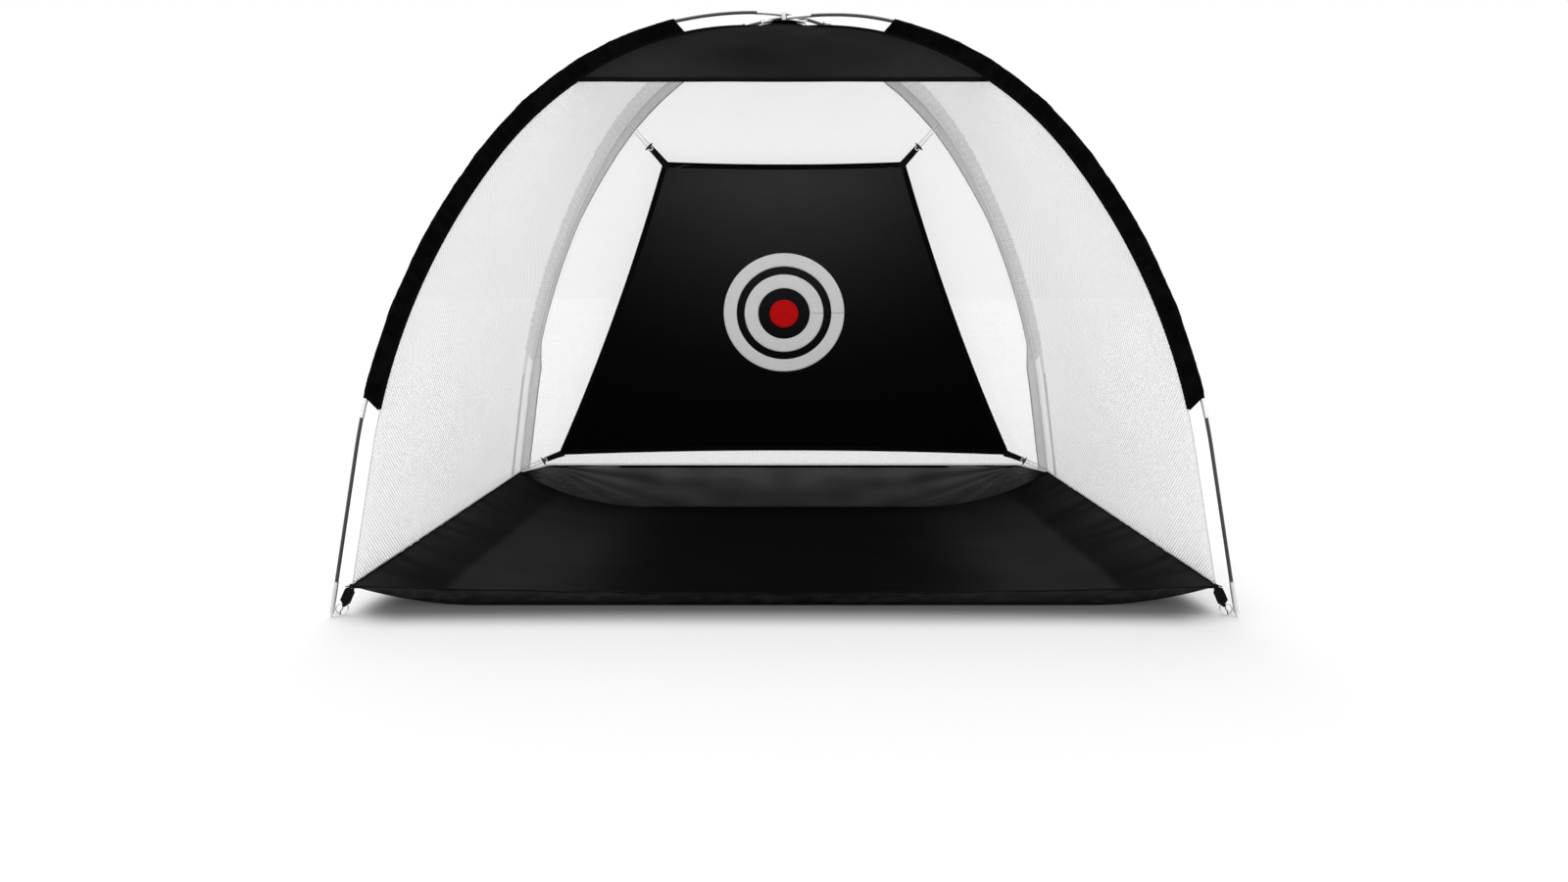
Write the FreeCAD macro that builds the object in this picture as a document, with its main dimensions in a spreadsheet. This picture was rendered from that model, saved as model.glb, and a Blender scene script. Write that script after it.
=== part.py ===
import FreeCAD, Part
import math
import os
from types import SimpleNamespace

import Sketcher
from FreeCAD import Base, Placement, Rotation, Vector

# Golf chipping net: two bent poles cross over a small tent of net, with a cloth target
# hung at the back and a cloth tray on the ground that holds the balls.
# Row frame: millimetres, +Z up, +X to the right, -Y the open front, origin on the ground
# in the middle between the four pole feet.

# Driving dimensions: alias, value, what it is.
SIZES = (
    # Stance of the frame
    ("front_span", 2017.0, "between the front pole feet"),
    ("rear_span", 1820.0, "between the rear pole feet"),
    ("feet_depth", 1042.0, "from the front feet to the rear feet"),
    ("apex_height", 1398.0, "ground to the crossing"),
    ("leg_length", 379.0, "straight stretch at the foot of a pole"),
    ("leg_lean", 11.7, "lean of that stretch, in degrees"),
    ("knee_lean", 39.0, "lean where the lower arc hands over to the upper, in degrees"),
    ("crossing_reach", 284.0, "stretch before the crossing where one pole climbs over the other"),
    ("crossing_lean", 82.0, "lean in the middle of that stretch, in degrees"),
    # Poles
    ("sections_per_pole", 8, "rods in one pole"),
    ("rod_diameter", 7.9, "outside of a fibreglass rod"),
    ("rod_bore", 4.5, "hole through a rod"),
    ("rod_gap", 0.4, "between two rod ends inside a ferrule"),
    ("crossing_gap", 0.3, "between the two poles where they cross"),
    ("ferrule_length", 70.0, "tube that joins two rods"),
    ("ferrule_wall", 0.8, "wall of that tube"),
    ("ferrule_clearance", 0.05, "between rod and ferrule, on the radius"),
    ("shock_cord_diameter", 2.5, "elastic cord inside a pole"),
    ("shock_cord_inset", 100.0, "from the foot to the end of that cord"),
    # Feet
    ("tip_lift", 10.0, "from the ground to the metal tip, along the leg"),
    ("tip_length", 70.0, "metal tip on a pole end"),
    ("tip_throat", 20.0, "part of the tip below the rod"),
    ("pin_diameter", 4.0, "pin that stands in the tip"),
    ("pin_clearance", 0.3, "between pin and throat, on the radius"),
    ("pin_travel", 28.0, "how far the pin slides out"),
    ("pin_hold", 4.0, "pin that is still in the tip when it is out"),
    ("collar_diameter", 8.4, "collar of the pin, under the tip"),
    ("collar_height", 3.0, "thickness of that collar"),
    ("seat_gap", 0.2, "between collar and tip"),
    ("ring_radius", 12.5, "centre line of the peg ring"),
    ("ring_wire", 3.0, "wire of the peg ring"),
    ("ring_setback", 12.3, "from the foot to the eye that holds the ring"),
    ("ring_hang", 35.0, "how far below level the ring meets its eye, in degrees"),
    ("eye_radius", 3.8, "centre line of the eye"),
    ("eye_wire", 2.8, "wire of the eye"),
    ("tab_width", 22.0, "webbing tab between ring and tray corner"),
    ("tab_thickness", 2.4, "two layers of that webbing"),
    ("front_tab_seat", 6.8, "from the end of a front tab to its tray corner"),
    ("rear_tab_seat", 1.8, "from the end of a rear tab to its tray corner"),
    ("tab_loop_length", 14.0, "sewn loop round the ring, along its axis"),
    ("tab_loop_bore", 6.4, "hole of that loop"),
    ("tab_loop_wall", 1.2, "wall of that loop"),
    # Cloth
    ("cloth", 1.5, "thickness of a sheet"),
    ("seam_gap", 0.4, "between two sewn pieces"),
    ("seam_offset", 32.0, "from a pole's centre line to the seam beside it"),
    ("sleeve_wall", 0.8, "wall of a sleeve"),
    ("sleeve_clearance", 0.4, "between sleeve and ferrule"),
    ("sleeve_nose", 0.48, "inside radius of a sleeve beside its seam"),
    ("sleeve_slant", 22.0, "how much further a sleeve runs at the seam than at the pole"),
    ("front_sleeve_foot", 462.0, "height where a front sleeve starts"),
    ("rear_sleeve_foot", 490.0, "height where a rear sleeve starts"),
    ("rear_sleeve_stop", 95.0, "from the end of a rear sleeve to the crossing"),
    ("canopy_hem_height", 1190.0, "height of the canopy's lower edge"),
    ("canopy_hem_band", 14.0, "folded band along that edge"),
    ("hem_extra", 1.2, "how much thicker a folded band is than its sheet"),
    ("crown_gap", 35.0, "from the ends of the panels to the crossing"),
    ("crown_length", 112.0, "patch under the crossing, across"),
    ("crown_width", 74.0, "the same, front to back"),
    ("crown_corner", 12.0, "corner radius of that patch"),
    ("tie_tape", 11.0, "width of the tape that ties the crossing"),
    ("tie_thickness", 1.0, "thickness of that tape"),
    ("tie_bore", 19.0, "inside of the tape loop, front to back"),
    # Net
    ("net_pitch", 108.0, "from one gap of the net to the next"),
    ("net_strand", 12.0, "solid strand between two gaps"),
    ("net_border", 22.0, "whole cloth along the edges"),
    # Tray
    ("front_corner_height", 63.0, "height of the tray's front corners"),
    ("rear_corner_height", 115.0, "height of the tray's rear corners"),
    ("lip_setback", 74.0, "from the front feet back to the lip's line on the ground"),
    ("lip_sag", 29.0, "how far the front hem hangs down in the middle, along the lip"),
    ("front_flat", 1400.0, "width that lies on the ground at the front"),
    ("rear_flat", 900.0, "width that lies on the ground at the back"),
    ("rear_hem_height", 140.0, "height of the rear wall between its corners"),
    ("rear_hem_length", 1526.0, "level part of the rear hem"),
    ("tray_hem_band", 9.0, "folded band along the tray's front hem"),
    # Target
    ("target_setback", 73.0, "from the rear feet forward to the target's lower corners"),
    ("target_foot_height", 184.0, "height of those corners"),
    ("target_lean", 11.2, "forward lean of the target, in degrees"),
    ("target_height", 902.0, "target along its slope, at the corners"),
    ("target_low_width", 1444.0, "between the lower corners"),
    ("target_high_width", 690.0, "between the upper corners"),
    ("target_side_sag", 16.0, "how far the side edges curve in"),
    ("target_top_sag", 7.0, "how far the top edge hangs"),
    ("target_foot_sag", 15.0, "how far the lower edge curves up"),
    ("target_band", 14.0, "binding along the edges"),
    ("bullseye_height", 461.0, "centre of the rings above the lower corners"),
    ("bullseye_outer", 182.0, "outer radius of the large ring"),
    ("bullseye_outer_inside", 143.0, "inner radius of the large ring"),
    ("bullseye_inner", 119.0, "outer radius of the small ring"),
    ("bullseye_inner_inside", 78.0, "inner radius of the small ring"),
    ("bullseye_dot", 43.0, "radius of the centre"),
    ("print_thickness", 0.4, "thickness of the print"),
    # Straps and toggles of the target
    ("high_anchor_height", 1173.0, "height of the upper loops on the seams"),
    ("low_anchor_height", 128.0, "height of the lower loops on the seams"),
    ("strap_width", 18.0, "corner strap"),
    ("strap_thickness", 1.6, "thickness of that strap"),
    ("neck_width", 3.0, "stitched neck that goes up through the loop"),
    ("loop_slot", 6.0, "slot inside a loop"),
    ("loop_tape", 3.2, "width of one side of a loop"),
    ("loop_thickness", 1.6, "thickness of a loop"),
    ("loop_tail", 11.0, "loop beyond the toggle"),
    ("high_loop_inset", 0.4, "from the seam's inside to the end of an upper loop"),
    ("low_loop_inset", 1.2, "the same for a lower loop"),
    ("toggle_reach", 57.0, "from the target's corner to the toggle"),
    ("toggle_length", 30.0, "toggle bar"),
    ("toggle_diameter", 8.0, "its thickness"),
    ("toggle_rounding", 3.0, "rounding of its ends"),
    ("toggle_gap", 0.3, "between toggle and loop"),
)

# Places along a seam that its smooth line passes through
SEAM_STEPS = 24
# Share of a sheet's thickness that lies level, and the share that lies upright
SLANT = math.sqrt(0.5)

doc = FreeCAD.newDocument("golf_chipping_net")


def make_sheet():
    """Write the driving dimensions to a spreadsheet with aliases."""
    sheet = doc.addObject("Spreadsheet::Sheet", "Sizes")
    for row, (alias, value, note) in enumerate(SIZES, start=1):
        sheet.set("A%d" % row, alias)
        sheet.set("B%d" % row, str(value))
        sheet.set("C%d" % row, note)
        sheet.setAlias("B%d" % row, alias)
    doc.recompute()
    return sheet


sheet = make_sheet()
d = SimpleNamespace(**{alias: float(sheet.get(alias)) for alias, value, note in SIZES})
made = []


# Document helpers


def keep(item, label):
    """Name a finished sub-part and list it for export."""
    item.Label = label
    made.append(item)
    return item


def feature(label, shape, placement=None):
    """A sub-part whose curved shape comes from a function of this file."""
    item = doc.addObject("Part::Feature", label)
    item.Shape = shape
    if placement is not None:
        item.Placement = placement
    return keep(item, label)


def bind(item, **expressions):
    """Tie properties of an object to cells of the sheet."""
    for name, expression in expressions.items():
        item.setExpression(name.replace("__", "."), expression)


def primitive(kind, name, **expressions):
    item = doc.addObject("Part::" + kind, name)
    bind(item, **expressions)
    return item


def origin_plane(body, role):
    return next(item for item in body.Origin.OriginFeatures if item.Role == role)


def new_sketch(body, name, role="XY_Plane"):
    sketch = body.newObject("Sketcher::SketchObject", name)
    sketch.AttachmentSupport = [(origin_plane(body, role), "")]
    sketch.MapMode = "FlatFace"
    return sketch


def dimension(sketch, kind, name, expression, *where):
    """Add a dimension to a sketch and tie it to the sheet, if an expression is given."""
    index = sketch.addConstraint(Sketcher.Constraint(kind, *where))
    sketch.renameConstraint(index, name)
    if expression:
        sketch.setExpression("Constraints." + name, expression)


def polygon(sketch, points):
    """A closed outline of straight lines: (name, x, y, x expression, y expression)."""
    count = len(points)
    for index in range(count):
        x0, y0 = points[index][1:3]
        x1, y1 = points[(index + 1) % count][1:3]
        sketch.addGeometry(Part.LineSegment(Vector(x0, y0, 0), Vector(x1, y1, 0)), False)
    for index in range(count):
        sketch.addConstraint(Sketcher.Constraint("Coincident", index, 2, (index + 1) % count, 1))
    for index, (name, x, y, x_text, y_text) in enumerate(points):
        fix_coordinate(sketch, "DistanceX", name + "_x", x, x_text, index)
        fix_coordinate(sketch, "DistanceY", name + "_y", y, y_text, index)


def fix_coordinate(sketch, kind, name, value, expression, index):
    """Hold the first end of a line at a coordinate of the sketch, zero being on its axis."""
    if value == 0:
        axis = -2 if kind == "DistanceX" else -1
        sketch.addConstraint(Sketcher.Constraint("PointOnObject", index, 1, axis))
        return
    dimension(sketch, kind, name, expression, -1, 1, index, 1, value)


def named_edges(item):
    """The edges of an object's shape with the names that features know them by."""
    return [("Edge%d" % number, edge) for number, edge in enumerate(item.Shape.Edges, start=1)]


def pad(body, sketch, length, middle=False):
    item = body.newObject("PartDesign::Pad", body.Name + "_pad")
    item.Profile = sketch
    item.setExpression("Length", length)
    item.Midplane = middle
    return item


def circle(sketch, name, radius, expression):
    """A circle about the sketch's origin."""
    index = sketch.addGeometry(Part.Circle(Vector(0, 0, 0), Vector(0, 0, 1), radius), False)
    sketch.addConstraint(Sketcher.Constraint("Coincident", index, 3, -1, 1))
    dimension(sketch, "Radius", name, expression, index, radius)


# Bent poles


class HalfPole:
    """One half of a bent pole, from its foot to the crossing, in its own upright plane.

    The lean is measured from the vertical. The half has a straight leg, an arc from the
    leg's lean to the knee's, and an arc from there to level. Where lift isn't zero, the
    last stretch is two other arcs, which end that much higher or lower.
    """

    def __init__(self, side, front, lift=0.0):
        span = d.front_span if front else d.rear_span
        other = d.rear_span if front else d.front_span
        self.foot = Vector(side * span / 2, (-0.5 if front else 0.5) * d.feet_depth, 0)
        far = Vector(-side * other / 2, -self.foot.y, 0)
        ray = far - self.foot
        self.plan = Vector(ray).normalize()
        self.normal = Vector(0, 0, 1).cross(self.plan)
        run = ray.Length * span / (span + other)
        self.bends = self.make_bends(run, lift)
        self.breaks = self.make_breaks()

    def make_bends(self, run, lift):
        """The arcs as (radius, lean at the start, lean at the end)."""
        lean = math.radians(d.leg_lean)
        knee = math.radians(d.knee_lean)
        level = math.pi / 2
        start = Vector(d.leg_length * math.sin(lean), d.leg_length * math.cos(lean), 0)
        low, high = two_arcs(start, Vector(run, d.apex_height, 0), lean, knee, level)
        if not lift:
            return [(low, lean, knee), (high, knee, level)]
        leave = level - d.crossing_reach / high
        left = Vector(run - high * math.cos(leave), d.apex_height - high * (1 - math.sin(leave)), 0)
        middle = math.radians(d.crossing_lean)
        first, last = two_arcs(left, Vector(run, d.apex_height + lift, 0), leave, middle, level)
        return [(low, lean, knee), (high, knee, leave), (first, leave, middle), (last, middle, level)]

    def make_breaks(self):
        """Distances along the pole where one stretch hands over to the next."""
        breaks = [0.0, d.leg_length]
        for radius, lean, end in self.bends:
            breaks.append(breaks[-1] + radius * (end - lean))
        return breaks

    @property
    def length(self):
        return self.breaks[-1]

    def line(self, along, inward=0.0):
        """Place in the pole's plane, as (run, height), and the lean there."""
        lean = math.radians(d.leg_lean)
        run = min(along, d.leg_length) * math.sin(lean)
        height = min(along, d.leg_length) * math.cos(lean)
        for start, (radius, first, last) in zip(self.breaks[1:], self.bends):
            if along > start:
                lean = min(first + (along - start) / radius, last)
                run += radius * (math.cos(first) - math.cos(lean))
                height += radius * (math.sin(lean) - math.sin(first))
        return run + inward * math.cos(lean), height - inward * math.sin(lean), lean

    def ahead(self, along):
        """Direction of the pole there, towards the crossing."""
        lean = self.line(along)[2]
        return self.plan * math.sin(lean) + Vector(0, 0, math.cos(lean))

    def point(self, along, inward=0.0, sideways=0.0):
        """Point of space beside the pole."""
        run, height, lean = self.line(along, inward)
        return self.foot + self.plan * run + self.normal * sideways + Vector(0, 0, height)

    def along_at(self, height, inward=0.0):
        """Distance along the pole where the line beside it reaches a height."""
        low, high = 0.0, self.length
        while high - low > 1e-6:
            middle = (low + high) / 2
            if self.line(middle, inward)[1] < height:
                low = middle
            else:
                high = middle
        return (low + high) / 2

    def stops(self, start, end):
        """The stretch from start to end, cut where the pole's arcs meet."""
        inner = [place for place in self.breaks if start + 1e-6 < place < end - 1e-6]
        return [start] + inner + [end]

    def edges(self, start, end, inward=0.0, shift=Vector(0, 0, 0)):
        """Lines and arcs beside the pole, in order."""
        stops = self.stops(start, end)
        found = []
        for first, last in zip(stops, stops[1:]):
            ends = [self.point(place, inward) + shift for place in (first, (first + last) / 2, last)]
            if last <= d.leg_length + 1e-6:
                found.append(Part.LineSegment(ends[0], ends[2]).toShape())
            else:
                found.append(Part.Arc(*ends).toShape())
        return found

    def foot_placement(self):
        """Local X towards the crossing, local Z up, origin on the ground under the foot."""
        return Placement(self.foot, Rotation(self.plan, self.normal, Vector(0, 0, 1), "ZXY"))

    def leg_placement(self):
        """The same with local Z along the leg."""
        return self.foot_placement().multiply(
            Placement(Vector(0, 0, 0), Rotation(Vector(0, 1, 0), d.leg_lean)))


def two_arcs(start, end, lean, middle, last):
    """Radii of two arcs that join two points, with the leans at start, middle and end."""
    run, rise = end.x - start.x, end.y - start.y
    run_one, run_two = math.cos(lean) - math.cos(middle), math.cos(middle) - math.cos(last)
    rise_one, rise_two = math.sin(middle) - math.sin(lean), math.sin(last) - math.sin(middle)
    scale = run_one * rise_two - run_two * rise_one
    return (run * rise_two - run_two * rise) / scale, (run_one * rise - run * rise_one) / scale


class Pole:
    """A whole pole: a front half and the rear half on the other side."""

    def __init__(self, side, lift):
        self.front = HalfPole(side, True, lift)
        self.rear = HalfPole(-side, False, lift)
        self.length = self.front.length + self.rear.length

    def edges(self, start, end):
        """Lines and arcs along the centre line, from the front foot on."""
        middle = self.front.length
        found = []
        if start < middle:
            found += self.front.edges(start, min(end, middle))
        if end > middle:
            last = self.rear.edges(self.length - end, self.length - max(start, middle))
            found += reversed(last)
        return found

    def point(self, along):
        if along <= self.front.length:
            return self.front.point(along)
        return self.rear.point(self.length - along)

    def ahead(self, along):
        if along <= self.front.length:
            return self.front.ahead(along)
        return self.rear.ahead(self.length - along) * -1

    def tube(self, start, end, outer, inner=0.0):
        """Round bar or tube along the pole."""
        path = Part.Wire(Part.__sortEdges__(self.edges(start, end)))
        origin = self.point(start)
        ahead = self.ahead(start)
        rings = [Part.Wire(Part.makeCircle(outer / 2, origin, ahead))]
        if inner:
            rings.append(Part.Wire(Part.makeCircle(inner / 2, origin, ahead * -1)))
        return one_solid(path.makePipe(Part.Face(rings)))


def one_solid(shape):
    """The single solid of a result."""
    if len(shape.Solids) != 1:
        raise ValueError("expected one solid, found %d" % len(shape.Solids))
    return shape.Solids[0]


lift = (d.rod_diameter + d.crossing_gap) / 2
poles = {"a": Pole(-1, lift), "b": Pole(1, -lift)}
cloth_line = {
    "front_left": HalfPole(-1, True),
    "front_right": HalfPole(1, True),
    "rear_left": HalfPole(-1, False),
    "rear_right": HalfPole(1, False),
}
pole_half = {
    "front_left": poles["a"].front,
    "front_right": poles["b"].front,
    "rear_left": poles["b"].rear,
    "rear_right": poles["a"].rear,
}


def make_poles():
    """Rods, the ferrules that join them, and the elastic cord inside each pole."""
    count = int(d.sections_per_pole)
    ferrule_bore = d.rod_diameter + 2 * d.ferrule_clearance
    ferrules = []
    cords = []
    rod_start = d.tip_lift + d.tip_throat + d.seat_gap
    for name, pole in poles.items():
        rod = pole.length / count
        joints = [index * rod for index in range(count + 1)]
        for index in range(count):
            start = joints[index] + d.rod_gap / 2 if index else rod_start
            end = joints[index + 1] - d.rod_gap / 2
            if index == count - 1:
                end = pole.length - rod_start
            feature("pole_%s_rod_%d" % (name, index + 1), pole.tube(start, end, d.rod_diameter, d.rod_bore))
        for joint in joints[1:-1]:
            ferrules.append(pole.tube(joint - d.ferrule_length / 2, joint + d.ferrule_length / 2,
                                      ferrule_bore + 2 * d.ferrule_wall, ferrule_bore))
        cords.append(pole.tube(d.shock_cord_inset, pole.length - d.shock_cord_inset,
                               d.shock_cord_diameter))
    feature("rod_ferrules", Part.makeCompound(ferrules))
    feature("shock_cords", Part.makeCompound(cords))


# Feet


def make_tip(corner, half):
    """Metal tip: a stepped tube on the end of the pole, turned about the leg."""
    body = doc.addObject("PartDesign::Body", corner + "_tip_body")
    sketch = new_sketch(body, corner + "_tip_section", "XZ_Plane")
    throat = d.pin_diameter / 2 + d.pin_clearance
    bore = d.rod_diameter / 2 + d.ferrule_clearance
    outer = bore + d.ferrule_wall
    top = d.tip_lift + d.tip_length
    step = d.tip_lift + d.tip_throat
    throat_text = "Sizes.pin_diameter / 2 + Sizes.pin_clearance"
    bore_text = "Sizes.rod_diameter / 2 + Sizes.ferrule_clearance"
    outer_text = bore_text + " + Sizes.ferrule_wall"
    top_text = "Sizes.tip_lift + Sizes.tip_length"
    step_text = "Sizes.tip_lift + Sizes.tip_throat"
    polygon(sketch, [
        ("mouth", throat, d.tip_lift, throat_text, "Sizes.tip_lift"),
        ("rim", outer, d.tip_lift, outer_text, "Sizes.tip_lift"),
        ("crest", outer, top, outer_text, top_text),
        ("lip", bore, top, bore_text, top_text),
        ("seat", bore, step, bore_text, step_text),
        ("step", throat, step, throat_text, step_text),
    ])
    turn = body.newObject("PartDesign::Revolution", corner + "_tip_turn")
    turn.Profile = sketch
    turn.ReferenceAxis = (sketch, ["V_Axis"])
    turn.Angle = 360
    body.Placement = half.leg_placement()
    return body


def ring_centre():
    """Centre of the peg ring in the foot's frame. The ring stands on the ground."""
    hang = math.radians(d.ring_hang)
    height = d.ring_radius + d.ring_wire / 2
    return Vector(d.ring_setback + d.ring_radius * math.cos(hang), 0, height)


def make_ring(corner, half):
    ring = primitive("Torus", corner + "_ring_wire", Radius1="Sizes.ring_radius",
                     Radius2="Sizes.ring_wire / 2")
    flat_on_plane = Placement(ring_centre(), Rotation(Vector(1, 0, 0), 90))
    ring.Placement = half.foot_placement().multiply(flat_on_plane)
    return keep(ring, corner + "_peg_ring")


def make_pin(corner, half):
    """Pin with a collar, an arm and an eye that the peg ring goes through."""
    leg = half.foot_placement().inverse().multiply(half.leg_placement())
    lean = math.radians(d.leg_lean)
    hang = math.radians(d.ring_hang)
    foot = d.pin_diameter / 2 * math.tan(lean)
    foot_text = "Sizes.pin_diameter / 2 * tan(Sizes.leg_lean * 1 deg)"
    reach_text = "Sizes.pin_travel + Sizes.pin_hold"
    shank = primitive("Cylinder", corner + "_shank", Radius="Sizes.pin_diameter / 2",
                      Height="Sizes.tip_lift + %s - %s" % (reach_text, foot_text))
    shank.Placement = leg.multiply(Placement(Vector(0, 0, foot), Rotation()))
    collar = primitive("Cylinder", corner + "_collar", Radius="Sizes.collar_diameter / 2",
                       Height="Sizes.collar_height")
    collar_foot = d.tip_lift - d.seat_gap - d.collar_height
    collar.Placement = leg.multiply(Placement(Vector(0, 0, collar_foot), Rotation()))
    outward = Vector(-math.cos(hang), 0, -math.sin(hang))
    centre = ring_centre() + outward * d.ring_radius
    along_ring = Vector(math.sin(hang), 0, -math.cos(hang))
    eye = primitive("Torus", corner + "_eye", Radius1="Sizes.eye_radius",
                    Radius2="Sizes.eye_wire / 2")
    eye.Placement = Placement(centre, Rotation(Vector(0, 0, 1), along_ring))
    arm_end = centre + outward * d.eye_radius
    arm_start = Vector(arm_end.z * math.tan(lean), 0, arm_end.z)
    arm = primitive("Cylinder", corner + "_arm", Radius="Sizes.eye_wire / 2")
    arm.Height = (arm_end - arm_start).Length
    arm.Placement = Placement(arm_start, Rotation(Vector(0, 0, 1), arm_end - arm_start))
    pin = doc.addObject("Part::MultiFuse", corner + "_pin_fuse")
    pin.Shapes = [shank, collar, eye, arm]
    pin.Placement = half.foot_placement()
    return keep(pin, corner + "_foot_pin")


def tray_corner(corner):
    """Tray corner beside the pole's leg, in the foot's frame."""
    half = cloth_line[corner]
    height = d.front_corner_height if corner.startswith("front") else d.rear_corner_height
    along = half.along_at(height, d.seam_offset)
    run = half.line(along, d.seam_offset)[0]
    return Vector(run, 0, height)


def make_tab(corner, half):
    """Webbing tab: a flat strap with a sewn loop round the peg ring."""
    centre = ring_centre()
    aim = tray_corner(corner) - centre
    chord = math.sqrt(d.ring_radius ** 2 - (d.tab_loop_length / 2) ** 2)
    bore_centre = (d.ring_radius + chord) / 2
    start = bore_centre + d.tab_loop_bore / 2
    strap = primitive("Box", corner + "_tab_strap", Width="Sizes.tab_width",
                      Height="Sizes.tab_thickness")
    seat = d.front_tab_seat if corner.startswith("front") else d.rear_tab_seat
    strap.Length = aim.Length - start - seat
    strap.Placement = Placement(Vector(start, -d.tab_width / 2, -d.tab_thickness / 2), Rotation())
    across = Rotation(Vector(1, 0, 0), -90)
    roll = primitive("Cylinder", corner + "_tab_roll", Height="Sizes.tab_loop_length",
                     Radius="Sizes.tab_loop_bore / 2 + Sizes.tab_loop_wall")
    roll.Placement = Placement(Vector(bore_centre, -d.tab_loop_length / 2, 0), across)
    bore = primitive("Cylinder", corner + "_tab_bore", Height="Sizes.tab_width",
                     Radius="Sizes.tab_loop_bore / 2")
    bore.Placement = Placement(Vector(bore_centre, -d.tab_width / 2, 0), across)
    whole = doc.addObject("Part::Fuse", corner + "_tab_whole")
    whole.Base = strap
    whole.Tool = roll
    tab = doc.addObject("Part::Cut", corner + "_tab_cut")
    tab.Base = whole
    tab.Tool = bore
    aim.normalize()
    turned = Rotation(aim, aim.cross(Vector(0, 1, 0)), Vector(0, 1, 0), "ZXY")
    flat = Placement(centre, turned)
    tab.Placement = half.foot_placement().multiply(flat)
    return keep(tab, corner + "_tab")


def make_feet():
    tips = [make_tip(corner, half) for corner, half in pole_half.items()]
    group = doc.addObject("Part::Compound", "tips")
    group.Links = tips
    keep(group, "pole_tips")
    for corner, half in pole_half.items():
        make_pin(corner, half)
        make_ring(corner, half)
        make_tab(corner, half)


# Sleeves


def sleeve_profile(half, along, grow, tail):
    """Drop-shaped section round the pole, drawn out to the seam."""
    centre = half.point(along)
    lean = half.line(along)[2]
    inward = half.plan * math.cos(lean) - Vector(0, 0, 1) * math.sin(lean)
    radius = d.rod_diameter / 2 + d.ferrule_clearance + d.ferrule_wall + d.sleeve_clearance + grow
    flat = d.sleeve_nose + grow
    touch = math.acos((radius - flat) / tail)
    rim = [centre + inward * (radius * math.cos(turn)) + half.normal * (radius * math.sin(turn))
           for turn in (touch, math.pi, -touch)]
    end = [centre + inward * (tail + flat * math.cos(turn)) + half.normal * (flat * math.sin(turn))
           for turn in (touch, 0, -touch)]
    return Part.Wire([
        Part.Arc(*rim).toShape(),
        Part.LineSegment(rim[2], end[2]).toShape(),
        Part.Arc(end[2], end[1], end[0]).toShape(),
        Part.LineSegment(end[0], rim[0]).toShape(),
    ])


def slant_cutter(half, along, depth):
    """Wedge that takes the pole side of a sleeve's end back."""
    reach = d.seam_offset + d.sleeve_clearance
    corners = [half.point(along, -reach, -reach), half.point(along, reach, -reach),
               half.point(along + 2 * depth, -reach, -reach)]
    face = Part.Face(Part.makePolygon(corners + corners[:1]))
    return face.extrude(half.normal * (2 * reach))


def make_sleeve(label, half, start, end, tail):
    """Tube of cloth round a pole, its ends cut at a slant."""
    path = Part.Wire(Part.__sortEdges__(half.edges(start, end)))
    outside = sleeve_profile(half, start, d.sleeve_wall, tail)
    inside = sleeve_profile(half, start, 0.0, tail)
    inside.reverse()
    shape = path.makePipe(Part.Face([outside, inside]))
    ends = [slant_cutter(half, start, d.sleeve_slant), slant_cutter(half, end, -d.sleeve_slant)]
    return feature(label, one_solid(shape.cut(ends)))


def make_sleeves():
    edge = d.sleeve_nose + d.sleeve_wall + d.seam_gap
    for side in ("left", "right"):
        half = pole_half["front_" + side]
        make_sleeve("front_%s_sleeve" % side, half, half.along_at(d.front_sleeve_foot),
                    half.length - d.crossing_reach, d.seam_offset - edge)
        half = pole_half["rear_" + side]
        make_sleeve("rear_%s_sleeve" % side, half, half.along_at(d.rear_sleeve_foot),
                    half.length - d.rear_sleeve_stop, d.seam_offset - edge - lift)


# Sheets between the seams


def edge_clearance():
    """From an upper edge of the tray to the net over it, which leans down inside that edge."""
    return d.cloth * (1 + SLANT) + d.seam_gap / 2


def seam_start(corner, height):
    """Where a sheet starts on a seam, over the tray's edge."""
    return cloth_line[corner].along_at(height, d.seam_offset) + edge_clearance()


def seam_end(corner):
    return cloth_line[corner].length - d.crown_gap


def seam_span(corner, height):
    return cloth_line[corner], seam_start(corner, height), seam_end(corner)


def seam_curve(span, other, level):
    """Smooth line beside a seam, towards the other seam, its parameter from 0 to 1."""
    half, start, end = span
    aside = abs(level.dot(half.normal)) + d.seam_gap / 2
    if half.normal.dot(other[0].foot - half.foot) < 0:
        aside = -aside
    shares = [step / SEAM_STEPS for step in range(SEAM_STEPS + 1)]
    places = [start + (end - start) * share for share in shares]
    points = [half.point(place, d.seam_offset, aside) for place in places]
    curve = Part.BSplineCurve()
    curve.interpolate(Points=points, Parameters=shares)
    return curve


def seam_surface(one, two, level):
    """Ruled surface of a sheet: u runs up the seams, v from one to two.

    The vector is the level part of the sheet's thickness, which leans towards the seams.
    """
    near = seam_curve(one, two, level)
    far = seam_curve(two, one, level)
    surface = Part.BSplineSurface()
    surface.buildFromPolesMultsKnots(
        [list(pair) for pair in zip(near.getPoles(), far.getPoles())],
        near.getMultiplicities(), [2, 2], near.getKnots(), [0.0, 1.0],
        False, False, near.Degree, 1)
    return surface


def gap_wire(surface, corners):
    """Outline of one gap, drawn on the surface between (u, v) corners."""
    places = [Base.Vector2d(*corner) for corner in corners]
    sides = [Part.Geom2d.Line2dSegment(one, two).toShape(surface)
             for one, two in zip(places, places[1:] + places[:1])]
    return Part.Wire(sides)


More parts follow.
